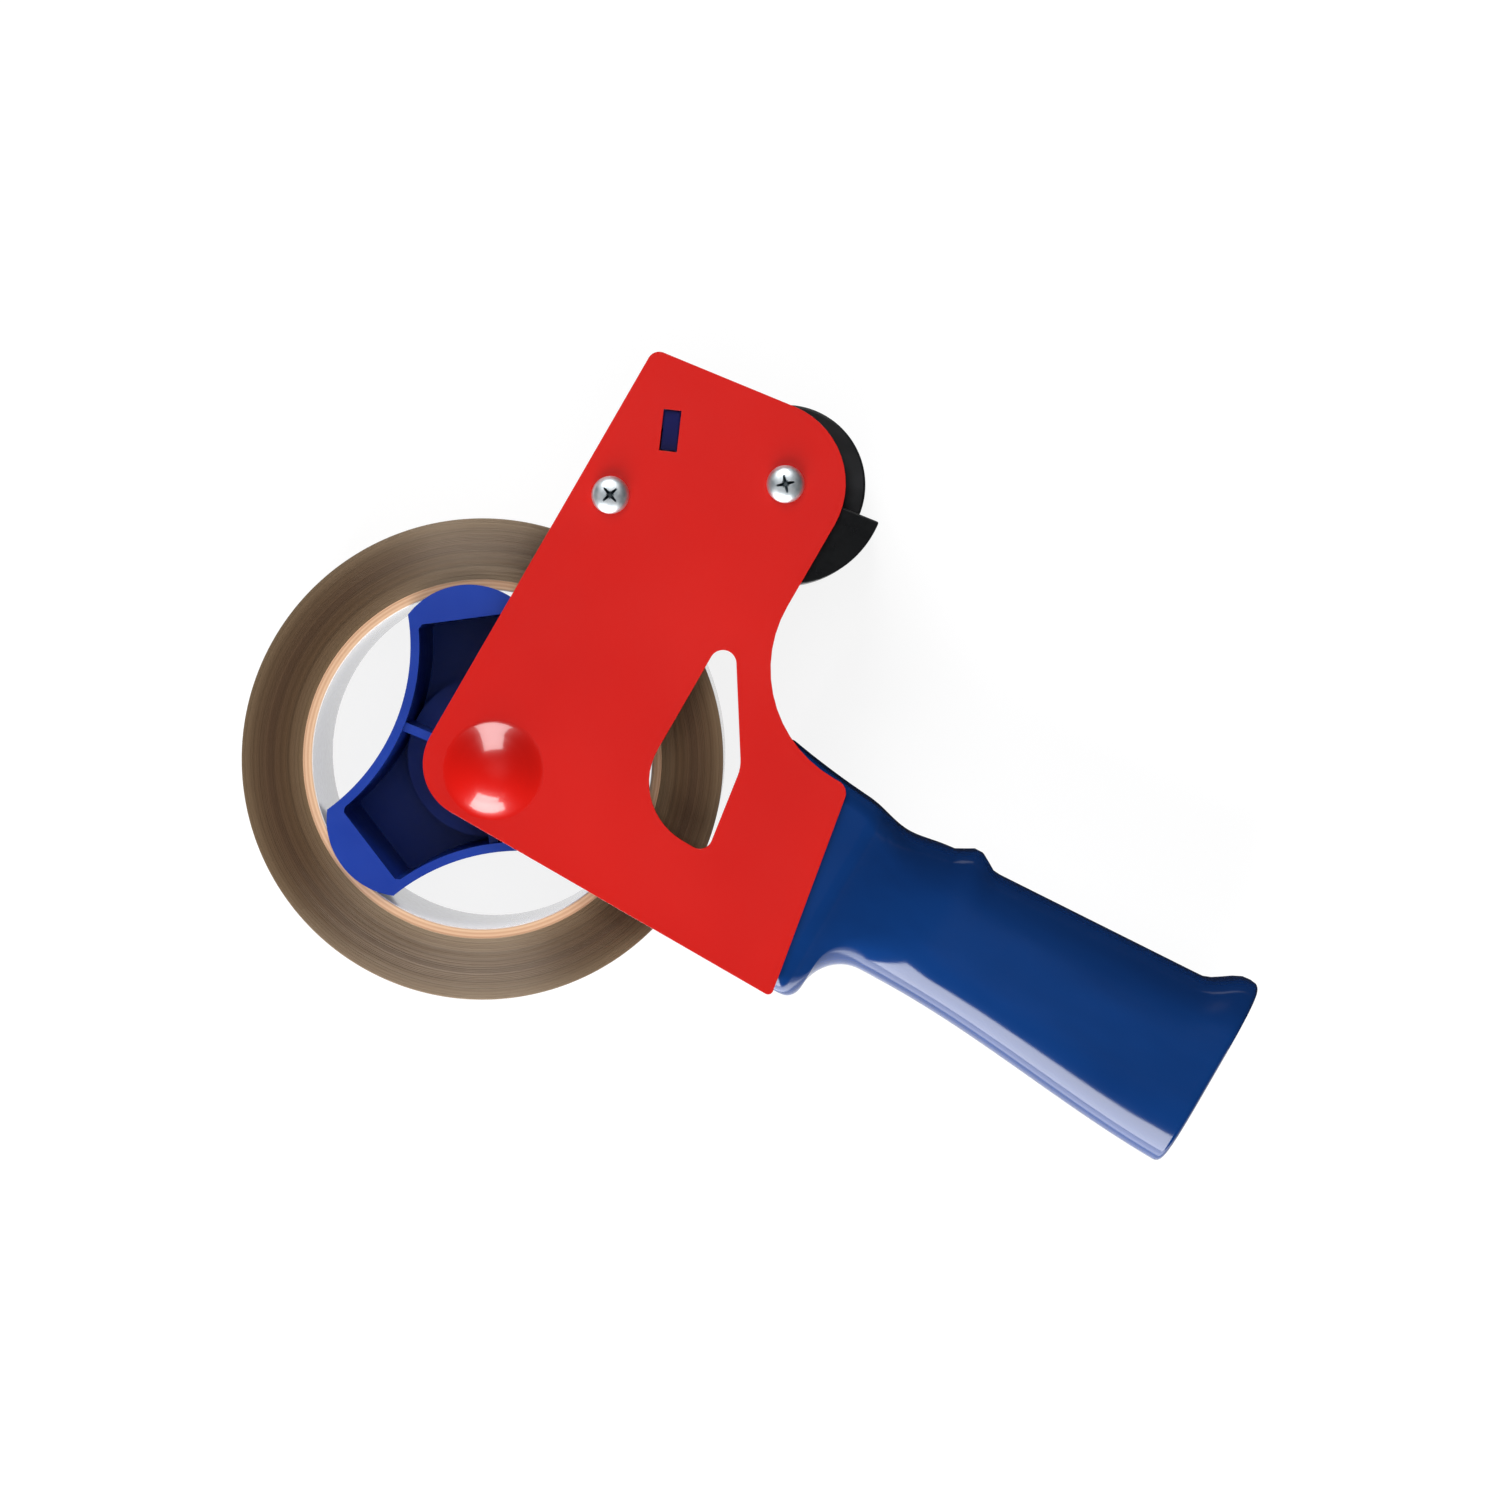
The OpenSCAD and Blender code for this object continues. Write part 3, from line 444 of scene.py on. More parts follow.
def turnedRings(bm, profile, sides, centre=(0, 0)):  # one ring of points for each (radius, height)
    turns = [(math.cos(math.tau * k / sides), math.sin(math.tau * k / sides)) for k in range(sides)]
    return [[bm.verts.new(Vector((centre[0] + r * c, centre[1] + r * s, z)) * mm) for c, s in turns]
            for r, z in profile]


def ringSolid(profile, sides, centre):  # turns a closed outline about a vertical line
    bm = bmesh.new()
    rings = turnedRings(bm, profile, sides, centre)
    for a, b in zip(rings, rings[1:] + rings[:1]):
        bridge(bm, a, b)
    bmesh.ops.recalc_face_normals(bm, faces=bm.faces)
    return looseObject(meshFrom(bm, "ring"))


def makePlate(g):
    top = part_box("side_plate")[1].z / mm - g["domeHeight"]
    ball = (g["domeRadius"] ** 2 + g["domeHeight"] ** 2) / (2 * g["domeHeight"])
    ballMiddle = top + g["domeHeight"] - ball

    def onBall(r):
        return ballMiddle + math.sqrt(ball * ball - r * r)

    inner, outer = g["domeRadius"] - g["footIn"], g["domeRadius"] + g["footOut"]
    knee = inner + (onBall(inner) - top) * math.sqrt(ball * ball - inner * inner) / inner
    foot = []
    for i in range(g["steps"] + 1):  # leaves the flat and meets the dome, both without a corner
        t = i / g["steps"]
        foot.append(((1 - t) ** 2 * outer + 2 * t * (1 - t) * knee + t * t * inner,
                     (1 - t * t) * top + t * t * onBall(inner)))
    # the rest of the outline lies just inside the sheet
    within, beyond = inner - g["lapIn"], outer + g["lapOut"]
    profile = [(within, top - g["sink"]), (beyond, top - g["sink"]), (beyond, top - g["lift"])] + foot
    profile.append((within, onBall(within) - g["skin"]))
    mesh = joinMeshes("pressedSidePlate", [looseObject(mergedCopy("side_plate")),
                                           ringSolid(profile, g["sides"], g["domeAt"])])
    smoothShade(mesh, angle=26)
    softenEdges(newPiece("pressedSidePlate", mesh, ["side_plate"]), g["edge"] * mm, angle=50)


makePlate(plateSettings)
print("side plate pressed")

hubSettings = {"parts": ("hub_rim", "hub_flange", "hub_core", "hub_well"), "edge": 0.3}


def makeHub(given):
    parts = [looseObject(mergedCopy(node)) for node in given["parts"]]
    mesh = mergeMesh(joinMeshes("hubMoulding", parts), distance=0.00001)
    smoothShade(mesh)
    softenEdges(newPiece("hubMoulding", mesh, list(given["parts"])), given["edge"] * mm)


makeHub(hubSettings)
print("hub joined")


handleSettings = {  # millimetres, the same form as the solids but with a smooth skin
    "rootDrop": 12.2, "rootLength": 25.0, "rootRise": 3.2, "rootFade": 6.0,
    "neckAfter": 4.5, "neckLength": 9.8, "neckRadius": 3.0, "slope": 27.0, "slopeDrop": 2.0,
    "gripLow": 0.6, "gripHeight": 34.3, "gripThick": 32.0, "gripMiddle": 26.0,
    "dipAfter": 9.0, "dip": 1.6, "dipReach": 11.0,  # the hollow before the finger stop
    "stopAfter": 25.4, "stopHeight": 2.7, "stopReach": 6.0, "riseAfter": 30.4, "rise": 3.2,
    "flareBefore": 12.0, "flare": 4.8, "flareFlat": 2.0, "endDrop": 4.3, "endRadius": 1.3,
    "oval": 0.62, "ovalShare": 0.9, "ovalBefore": 4.0, "ovalGap": 5,  # the gap in degrees
    "corner": 4.0, "leastCorner": 0.8, "wall": 2.6, "seam": 33.5, "seamGap": 0.2, "edge": 0.22,
    "outside": (16, 2.0), "inside": (6, 6.0),  # points in a quarter turn, and the longest step
    "screwAt": ((77.0, -3.2), (67.0, 15.2), (116.4, 18.2), (167.4, 18.2)), "holeRadius": 1.7,
    "pocket": 7.0, "pocketRadius": 3.4, "bossRadius": 5.2, "bossFrom": 1.3, "bossOver": 3.0,
    "past": 5.0, "space": ((0, -60, -20), (200, 60, 90))}  # how far the cutting tools reach


def ease(t):
    t = min(1.0, max(0.0, t))
    return t * t * (3 - 2 * t)


def fall(t):
    return (1 - min(1.0, max(0.0, t))) ** 2


def handleEdges(g, x, w):  # low y, high y, low z and high z of the section at x, drawn in by w
    neckX = g["rootEnd"] + g["neckAfter"]
    stopX = g["rootEnd"] + g["stopAfter"]
    flareX = g["endX"] - g["flareBefore"]
    riseX = g["rootEnd"] + g["riseAfter"]
    into = min(1.0, max(0.0, (x - neckX + w) / g["neckRadius"] + 1))
    lowY = w - g["rootDrop"] + g["neckRadius"] * (1 - math.sqrt(1 - into * into))
    if x >= neckX - w:
        sweep = max(0.0, 1 - (x - neckX + w) / g["neckLength"])
        lift = g["gripLow"] + g["rootDrop"] - g["neckRadius"]
        lowY += lift * math.sqrt(max(0.0, 1 - sweep * sweep))
    lowY -= g["endDrop"] * ease((x - stopX) / (g["endX"] - stopX))
    highY = g["gripLow"] + g["gripHeight"] - w
    highY += g["rootRise"] * fall((x - g["rootX"]) / (neckX + g["rootFade"] - g["rootX"]))
    highY += g["stopHeight"] * ease(1 - abs(x - stopX) / g["stopReach"])
    highY -= g["dip"] * ease(1 - abs(x - g["rootEnd"] - g["dipAfter"]) / g["dipReach"])
    highY += g["rise"] * min(1.0, max(0.0, (x - riseX) / (flareX - riseX)))
    highY += g["flare"] * ease((x - flareX) / (g["endX"] - flareX - g["flareFlat"]))
    half = g["gripThick"] / 2
    lowZ = g["gripMiddle"] - half + w - g["slopeDrop"] * fall((x - g["rootEnd"]) / g["slope"])
    highZ = g["gripMiddle"] + half - w
    highZ += (g["plateZ"] - g["gripMiddle"] - half) * fall((x - g["rootEnd"] + w) / g["slope"])
    return lowY, highY, lowZ, highZ


def handleRing(g, x, w, quarter):  # a rounded box at the root that turns into an oval along the grip
    lowY, highY, lowZ, highZ = handleEdges(g, x, w)
    r = max(g["leastCorner"], g["corner"] - w)
    share = g["ovalShare"] * ease((x - g["rootEnd"] + g["ovalBefore"]) / g["slope"])
    ring = []
    for q in range(4):
        for i in range(quarter + 1):
            a = math.radians(90 * (q + i / quarter))
            b = math.radians(90 * q + g["ovalGap"] + (90 - 2 * g["ovalGap"]) * i / quarter)
            boxY = (highY - r if q in (0, 3) else lowY + r) + r * math.cos(a)
            boxZ = (highZ - r if q < 2 else lowZ + r) + r * math.sin(a)
            cy, cz = math.cos(b), math.sin(b)
            ovalY = (lowY + highY) / 2 + (highY - lowY) / 2 * math.copysign(abs(cy) ** g["oval"], cy)
            ovalZ = (lowZ + highZ) / 2 + (highZ - lowZ) / 2 * math.copysign(abs(cz) ** g["oval"], cz)
            ring.append(Vector((x, boxY + (ovalY - boxY) * share, boxZ + (ovalZ - boxZ) * share)) * mm)
    return ring


def handleForm(g, w, quarter, step):  # the closed form, drawn in by w on all sides
    neckX = g["rootEnd"] + g["neckAfter"]
    first, last, radius = g["rootX"] + w, g["endX"] - w, g["endRadius"]

    def endRing(at, inward, t):
        x = at + inward * radius * (1 - math.sin(t))
        return handleRing(g, x, w + radius * (1 - math.cos(t)), quarter)

    # sections stand closest where the neck curves
    stations = [neckX - w - g["neckRadius"] + g["neckRadius"] * math.sin(math.radians(a))
                for a in range(0, 90, 12)]
    stations += [neckX - w + g["neckLength"] * (1 - math.cos(math.radians(a))) for a in range(0, 91, 6)]
    x = first + radius
    while x < last - radius:
        if min(abs(x - s) for s in stations) > step * 0.4 and not stations[0] < x < stations[-1]:
            stations.append(x)
        x += step
    stations = sorted(s for s in stations if first + radius < s < last - radius)
    rounding = [math.radians(a) for a in range(0, 91, 18)]
    rings = [endRing(first, 1, t) for t in reversed(rounding)]
    rings += [handleRing(g, s, w, quarter) for s in stations]
    rings += [endRing(last, -1, t) for t in rounding]
    bm = bmesh.new()
    made = [[bm.verts.new(p) for p in ring] for ring in rings]
    for a, b in zip(made, made[1:]):
        bridge(bm, a, b)
    bm.faces.new(made[0])
    bm.faces.new(reversed(made[-1]))
    bmesh.ops.remove_doubles(bm, verts=bm.verts, dist=0.000001)
    bmesh.ops.recalc_face_normals(bm, faces=bm.faces)
    return looseObject(meshFrom(bm, "handleForm"))


def looseSolid(low, high, radius=None, at=(0, 0)):  # a block, or a round bar along Z, in millimetres
    bm = bmesh.new()
    if radius:
        bmesh.ops.create_cone(bm, cap_ends=True, segments=48, radius1=radius * mm, radius2=radius * mm,
                              depth=(high - low) * mm,
                              matrix=Matrix.Translation(Vector((at[0], at[1], (low + high) / 2)) * mm))
    else:
        size = [(b - a) * mm for a, b in zip(low, high)]
        centre = Vector([(a + b) / 2 * mm for a, b in zip(low, high)])
        bmesh.ops.create_cube(bm, size=1, matrix=Matrix.Translation(centre) @ Matrix.Diagonal((*size, 1)))
    return looseObject(meshFrom(bm, "loose"))


def makeShell(name, node, given, near):
    g = dict(given)
    low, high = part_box("handle_near_shell")
    g["rootX"], g["endX"] = low.x / mm, high.x / mm
    g["rootEnd"] = g["rootX"] + g["rootLength"]
    g["plateZ"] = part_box("side_plate")[0].z / mm
    shell = handleForm(g, 0.0, *g["outside"])
    seats = [] if near else [(at, handleEdges(g, at[0], 0)[2]) for at in g["screwAt"]]
    cut = g["seam"] + (g["seamGap"] if near else -g["seamGap"]) / 2
    below, above = g["space"]
    half = ((*below[:2], cut), above) if near else (below, (*above[:2], cut))
    steps = [("DIFFERENCE", handleForm(g, g["wall"], *g["inside"]))]
    for at, floor in seats:
        boss = looseSolid(floor + g["bossFrom"], g["seam"] + g["bossOver"], g["bossRadius"], at)
        steps.append(("UNION", boss))
    steps.append(("INTERSECT", looseSolid(*half)))
    for at, floor in seats:
        steps.append(("DIFFERENCE", looseSolid(-g["past"], floor + g["pocket"], g["pocketRadius"], at)))
        steps.append(("DIFFERENCE", looseSolid(0, g["seam"] + g["past"], g["holeRadius"], at)))
    for operation, tool in steps:
        addBoolean(shell, operation, tool)
    mesh = bakeMesh(name, shell, [shell] + [tool for _, tool in steps])
    smoothShade(mesh, angle=35)
    softenEdges(newPiece(name, mesh, [node]), g["edge"] * mm, angle=50)


makeShell("handleNearShell", "handle_near_shell", handleSettings, True)
makeShell("handleFarShell", "handle_far_shell", handleSettings, False)
print("handle shells lofted")


def startTree(name, sockets):  # gives the tree, its inputs' identifiers and their outputs inside
    tree = bpy.data.node_groups.new(name, "GeometryNodeTree")
    face = tree.interface
    ids = {label: face.new_socket(label, in_out="INPUT", socket_type="NodeSocket" + kind).identifier
           for label, kind in sockets.items()}
    face.new_socket("Geometry", in_out="OUTPUT", socket_type="NodeSocketGeometry")
    return tree, ids, addNode(tree, "NodeGroupInput").outputs


def endTree(tree, geometry, finish):
    real = outOf(tree, "GeometryNodeRealizeInstances", links={"Geometry": geometry})
    done = outOf(tree, "GeometryNodeSetMaterial", links={"Geometry": real, "Material": finish})
    addNode(tree, "NodeGroupOutput", links={"Geometry": done})


def spinTree():
    # spins the points of a profile about Z: each point becomes a ring, and the ring of points
    # can lose a little radius over the turn, as wound tape does at its free end
    tree, ids, given = startTree("spinProfile", {
        "Profile": "Geometry", "Points": "Int", "Steps": "Int", "Inner Radius": "Float",
        "Outer Radius": "Float", "Layer Loss": "Float", "Edge Scatter": "Float", "Seed": "Int",
        "Centre": "Vector", "Finish": "Material"})

    def maths(operation, a, b=None):
        node = addNode(tree, "ShaderNodeMath", operation=operation)
        for slot, value in ((0, a), (1, b)):
            if isinstance(value, (int, float)):
                node.inputs[slot].default_value = value
            elif value is not None:
                tree.links.new(value, node.inputs[slot])
        return node.outputs[0]

    across = maths("ADD", given["Points"], 1)
    around = maths("ADD", given["Steps"], 2)
    grid = addNode(tree, "GeometryNodeMeshGrid", {"Size X": 1.0, "Size Y": 1.0},
                   {"Vertices X": around, "Vertices Y": across}).outputs["Mesh"]
    index = outOf(tree, "GeometryNodeInputIndex")
    column = maths("FLOOR", maths("DIVIDE", maths("ADD", index, 0.5), across))
    row = maths("MODULO", maths("SUBTRACT", index, maths("MULTIPLY", column, across)), given["Points"])
    sample = addNode(tree, "GeometryNodeSampleIndex", data_type="FLOAT_VECTOR", domain="POINT",
                     links={"Geometry": given["Profile"], "Index": row,
                            "Value": outOf(tree, "GeometryNodeInputPosition")})
    parts = addNode(tree, "ShaderNodeSeparateXYZ", links={"Vector": sample.outputs["Value"]}).outputs
    share = maths("DIVIDE", column, given["Steps"])
    angle = maths("MULTIPLY", maths("MINIMUM", share, 1.0), math.tau)
    turned = maths("MODULO", column, maths("ADD", given["Steps"], 1))  # back to none at the closing step
    weight = addNode(tree, "ShaderNodeMapRange", links={
        "Value": parts["X"], "From Min": given["Inner Radius"],
        "From Max": given["Outer Radius"]}).outputs["Result"]
    drawn = maths("MULTIPLY", maths("DIVIDE", turned, given["Steps"]), given["Layer Loss"])
    radius = maths("SUBTRACT", parts["X"], maths("MULTIPLY", drawn, weight))
    scatter = addNode(tree, "FunctionNodeRandomValue", data_type="FLOAT",
                      links={"ID": row, "Seed": given["Seed"]}).outputs[1]
    inward = maths("MULTIPLY", maths("MULTIPLY", scatter, given["Edge Scatter"]), maths("SIGN", parts["Y"]))
    place = outOf(tree, "ShaderNodeCombineXYZ", links={
        "X": maths("MULTIPLY", radius, maths("COSINE", angle)),
        "Y": maths("MULTIPLY", radius, maths("SINE", angle)), "Z": maths("SUBTRACT", parts["Z"], inward)})
    moved = outOf(tree, "ShaderNodeVectorMath", links={0: place, 1: given["Centre"]}, operation="ADD")
    ring = outOf(tree, "GeometryNodeSetPosition", links={"Geometry": grid, "Position": moved})
    closed = outOf(tree, "GeometryNodeMergeByDistance", {"Distance": 0.000001}, {"Geometry": ring})
    endTree(tree, closed, given["Finish"])
    return tree, ids


def runTree(obj, tree, ids, inputs, name):  # sets the inputs, then keeps the result as a plain mesh
    modifier = obj.modifiers.new("maker", "NODES")
    modifier.node_group = tree
    for key, value in inputs.items():
        modifier[ids[key]] = value
    obj.update_tag()
    bpy.context.view_layer.update()
    mesh = bakeMesh(name, obj, [obj])
    bm = bmesh.new()
    bm.from_mesh(mesh)
    bmesh.ops.dissolve_degenerate(bm, dist=0.0000005, edges=bm.edges)
    bmesh.ops.recalc_face_normals(bm, faces=bm.faces)
    if bm.calc_volume(signed=True) < 0:
        bmesh.ops.reverse_faces(bm, faces=bm.faces)
    bm.to_mesh(mesh)
    bm.free()
    return mesh


spin, spinIds = spinTree()


def spun(name, profile, node, settings):
    # profile points are (radius, side, height): side marks which way a wound edge may draw in
    mesh = bpy.data.meshes.new(name + "Profile")
    mesh.from_pydata(profile, [], [])
    inputs = {"Points": len(profile), "Finish": finishes[slotOf[node]], **settings}
    made = runTree(looseObject(mesh), spin, spinIds, inputs, name)
    smoothShade(made, angle=40)
    return newPiece(name, made, [node])


windingSettings = {"layers": 64, "scatter": 0.07, "endStep": 0.07, "steps": 240, "edge": 0.12,
                   "filmDeep": 0.3, "seed": 5}


def makeWinding(given):
    low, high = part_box("tape_winding")
    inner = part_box("tape_core")[1].x
    outer = high.x
    count = given["layers"]
    edge = given["edge"] * mm
    radii = [inner + (outer - inner) * i / count for i in range(count + 1)]
    profile = [(radii[0], 0, low.z)]
    profile += [(r, -1, low.z) for r in radii[1:-1]] + [(outer - edge, -1, low.z)]
    profile += [(outer, 0, low.z + edge), (outer, 0, high.z - edge), (outer - edge, 1, high.z)]
    profile += [(r, 1, high.z) for r in radii[-2:0:-1]] + [(radii[0], 0, high.z)]
    winding = spun("tapeWinding", profile, "tape_winding", {
        "Steps": given["steps"], "Inner Radius": inner, "Outer Radius": outer,
        "Layer Loss": given["endStep"] * mm, "Edge Scatter": given["scatter"] * mm,
        "Seed": given["seed"]})
    winding.data.materials.append(outerFilm)
    for face in winding.data.polygons:  # the outermost faces show the film, not its edges
        if abs(face.normal.z) < 0.5 and face.center.xy.length > outer - given["filmDeep"] * mm:
            face.material_index = 1


coreSettings = {"steps": 192, "plies": 5, "lip": 0.25, "scatter": 0.08, "seed": 11}


def makeCore(given):
    low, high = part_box("tape_core")
    outer = high.x
    lip = given["lip"] * mm
    steps = given["plies"] * 2
    radii = [coreBore + lip + (outer - coreBore - lip) * i / steps for i in range(steps)]
    profile = [(coreBore, 0, low.z + lip)] + [(r, -1, low.z) for r in radii] + [(outer, 0, low.z)]
    profile += [(outer, 0, high.z)] + [(r, 1, high.z) for r in reversed(radii)]
    profile.append((coreBore, 0, high.z - lip))
    spun("spiralCore", profile, "tape_core", {
        "Steps": given["steps"], "Inner Radius": coreBore, "Outer Radius": outer,
        "Edge Scatter": given["scatter"] * mm, "Seed": given["seed"]})


sleeveSettings = {"grooves": 22, "depth": 0.35, "width": 0.5, "steps": 144, "edge": 0.5}


def makeSleeve(given):
    low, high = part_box("roller_sleeve")
    centre = (low + high) / 2
    outer = (high.x - low.x) / 2
    inner = (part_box("roller_core")[1].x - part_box("roller_core")[0].x) / 2
    edge, depth, half = given["edge"] * mm, given["depth"] * mm, given["width"] * mm / 2
    profile = [(inner, 0, low.z), (outer - edge, 0, low.z), (outer, 0, low.z + edge)]
    pitch = (high.z - low.z) / (given["grooves"] + 1)
    for i in range(given["grooves"]):
        z = low.z + pitch * (i + 1)
        profile += [(outer, 0, z - half), (outer - depth, 0, z), (outer, 0, z + half)]
    profile += [(outer, 0, high.z - edge), (outer - edge, 0, high.z), (inner, 0, high.z)]
    spun("rollerSleeve", profile, "roller_sleeve", {
        "Steps": given["steps"], "Inner Radius": inner, "Outer Radius": outer,
        "Centre": (centre.x, centre.y, 0.0)})


makeWinding(windingSettings)
makeCore(coreSettings)
makeSleeve(sleeveSettings)
print("roll and roller turned")


def coilTree():
    tree, ids, given = startTree("coilSpring", {
        "Radius": "Float", "Wire": "Float", "Turns": "Float", "Height": "Float", "Start": "Vector",
        "Steps": "Int", "Finish": "Material"})
    spiral = outOf(tree, "GeometryNodeCurveSpiral", links={
        "Resolution": given["Steps"], "Rotations": given["Turns"], "Start Radius": given["Radius"],
        "End Radius": given["Radius"], "Height": given["Height"]})
    half = outOf(tree, "ShaderNodeMath", {1: 0.5}, {0: given["Wire"]}, operation="MULTIPLY")
    section = outOf(tree, "GeometryNodeCurvePrimitiveCircle", {"Resolution": 12}, {"Radius": half})
    wire = outOf(tree, "GeometryNodeCurveToMesh", {"Fill Caps": True},
                 {"Curve": spiral, "Profile Curve": section})
    placed = outOf(tree, "GeometryNodeTransform", links={"Geometry": wire, "Translation": given["Start"]})
    endTree(tree, placed, given["Finish"])
    return tree, ids


coil, coilIds = coilTree()
springSettings = {  # the wire in millimetres; steps are counted for each turn
    "tensionSpring": {"node": "tension_spring", "wire": 1.6, "turns": 4.5, "steps": 28},
    "tongueSpring": {"node": "tongue_spring", "wire": 0.6, "turns": 8.0, "steps": 28}}


def makeSpring(name, given):
    low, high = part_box(given["node"])
    centre = (low + high) / 2
    wire = given["wire"] * mm
    radius = max(high.x - low.x, high.y - low.y) / 2 - wire / 2 - 0.02 * mm
    made = runTree(looseObject(bpy.data.meshes.new(name)), coil, coilIds, {
        "Radius": radius, "Wire": wire, "Turns": given["turns"], "Height": high.z - low.z - wire,
        "Start": (centre.x, centre.y, low.z + wire / 2), "Steps": given["steps"],
        "Finish": finishes[slotOf[given["node"]]]}, name)
    smoothShade(made, angle=50)
    return newPiece(name, made, [given["node"]])


springs = {name: makeSpring(name, given) for name, given in springSettings.items()}
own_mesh(springs["tensionSpring"])
print("springs coiled")


screwHead = {  # millimetres: a pan head with a cross recess and four small ticks between the arms
    "radius": 4.2, "height": 2.8, "rim": 0.55, "foot": 0.1, "middle": 0.001, "sides": 48, "steps": 12,
    "crownOut": 0.72, "crownUp": 0.95, "recess": 1.9, "armLength": 2.4, "armWidth": 1.05, "armTip": 0.42,
    "floorLength": 0.42, "floorWidth": 0.6, "above": 0.4, "tick": 0.3, "tickShare": 0.5}


def crossCutter(given, angle, share, width, tip):
    # one arm of the recess, narrowing towards its tips and as it goes down
    turnBy = Matrix.Rotation(math.radians(angle), 3, "Z")
    length = given["armLength"] * share
    outline = ((-length, -tip), (0, -width), (length, -tip), (length, tip), (0, width), (-length, tip))
    bm = bmesh.new()
    rings = []
    for z, l, w in ((given["height"] - given["recess"] * share, given["floorLength"], given["floorWidth"]),
                    (given["height"] + given["above"], 1.0, 1.0)):
        rings.append([bm.verts.new(turnBy @ Vector((x * l, y * w / 2, z)) * mm) for x, y in outline])
    bm.faces.new(reversed(rings[0]))
    bm.faces.new(rings[1])
    bridge(bm, rings[0], rings[1])
    return looseObject(meshFrom(bm, "recessArm"))


def makeHeadMesh(given):
    r, rim, foot, crown = given["radius"], given["rim"], given["foot"], given["height"] - given["rim"]
    profile = [(given["middle"], 0), (r - foot, 0), (r, foot), (r, rim)]
    for i in range(1, given["steps"]):
        a = math.radians(90 * i / given["steps"])
        profile.append((r * math.cos(a) ** given["crownOut"], rim + crown * math.sin(a) ** given["crownUp"]))
    profile.append((given["middle"], given["height"]))
    bm = bmesh.new()
    rings = turnedRings(bm, profile, given["sides"])
    for a, b in zip(rings, rings[1:]):
        bridge(bm, a, b)
    bm.faces.new(reversed(rings[0]))
    bm.faces.new(rings[-1])
    bmesh.ops.recalc_face_normals(bm, faces=bm.faces)
    head = looseObject(meshFrom(bm, "panHead"), "panHead")
    cutters = [crossCutter(given, a, 1.0, given["armWidth"], given["armTip"]) for a in (0, 90)]
    cutters += [crossCutter(given, a, given["tickShare"], given["tick"], given["tick"]) for a in (45, 135)]
    for cutter in cutters:
        addBoolean(head, "DIFFERENCE", cutter)
    done = bakeMesh("panHead", head, [head] + cutters)
    smoothShade(done, angle=32)
    return done


def screwTree():
    # places a head and a plain shank on every point; each point carries the way its head faces
    tree, ids, given = startTree("screwRow", {
        "Points": "Geometry", "Head": "Object", "Head Scale": "Float", "Shank Radius": "Float",
        "Shank Length": "Float", "Turn Seed": "Int", "Finish": "Material"})
    aim = outOf(tree, "GeometryNodeInputNamedAttribute", {"Name": "aim"}, data_type="FLOAT_VECTOR")
    align = outOf(tree, "FunctionNodeAlignRotationToVector", axis="Z", links={"Vector": aim})
    spinBy = addNode(tree, "FunctionNodeRandomValue", {"Max": math.pi}, {"Seed": given["Turn Seed"]},
                     data_type="FLOAT").outputs[1]
    about = outOf(tree, "FunctionNodeEulerToRotation", links={
        "Euler": outOf(tree, "ShaderNodeCombineXYZ", links={"Z": spinBy})})
    turned = outOf(tree, "FunctionNodeRotateRotation", rotation_space="LOCAL",
                   links={"Rotation": align, "Rotate By": about})
    head = addNode(tree, "GeometryNodeObjectInfo", links={"Object": given["Head"]}).outputs["Geometry"]
    heads = outOf(tree, "GeometryNodeInstanceOnPoints", links={
        "Points": given["Points"], "Instance": head, "Rotation": turned, "Scale": given["Head Scale"]})
    shank = addNode(tree, "GeometryNodeMeshCylinder", {"Vertices": 24}, {
        "Radius": given["Shank Radius"], "Depth": given["Shank Length"]}).outputs["Mesh"]
    drop = outOf(tree, "ShaderNodeMath", {1: -0.5}, {0: given["Shank Length"]}, operation="MULTIPLY")
    lowered = outOf(tree, "GeometryNodeTransform", links={
        "Geometry": shank, "Translation": outOf(tree, "ShaderNodeCombineXYZ", links={"Z": drop})})
    shanks = outOf(tree, "GeometryNodeInstanceOnPoints", links={
        "Points": given["Points"], "Instance": lowered, "Rotation": align})
    both = addNode(tree, "GeometryNodeJoinGeometry")
    for part in (heads, shanks):
        tree.links.new(part, both.inputs[0])
    endTree(tree, both.outputs[0], given["Finish"])
    return tree, ids


screwRow, screwRowIds = screwTree()
headObject = looseObject(makeHeadMesh(screwHead), "screwHeadPattern")


def screwPlaces(node, aim):
    # one seat for each loose screw in the node: the head's flat underside, on the screw's axis
    bm = bmesh.new()
    bm.from_mesh(frame["nodes"][node].data)
    bmesh.ops.remove_doubles(bm, verts=bm.verts, dist=0.000002)
    left = dict.fromkeys(bm.verts)  # keeps the mesh's order, so every run turns the screws alike
    seats = []
    while left:
        stack = [left.popitem()[0]]
        group = list(stack)
        while stack:
            for edge in stack.pop().link_edges:
                for v in edge.verts:
                    if v in left:
                        del left[v]
                        stack.append(v)
                        group.append(v)
        across = aim.orthogonal().normalized()
        along = aim.cross(across)
        (left0, right0), (left1, right1), (foot, top) = [
            (min(v.co.dot(d) for v in group), max(v.co.dot(d) for v in group)) for d in (across, along, aim)]
        centre = across * ((left0 + right0) / 2) + along * ((left1 + right1) / 2)
        seats.append((centre, foot, top, right0 - left0))
    bm.free()
    return seats


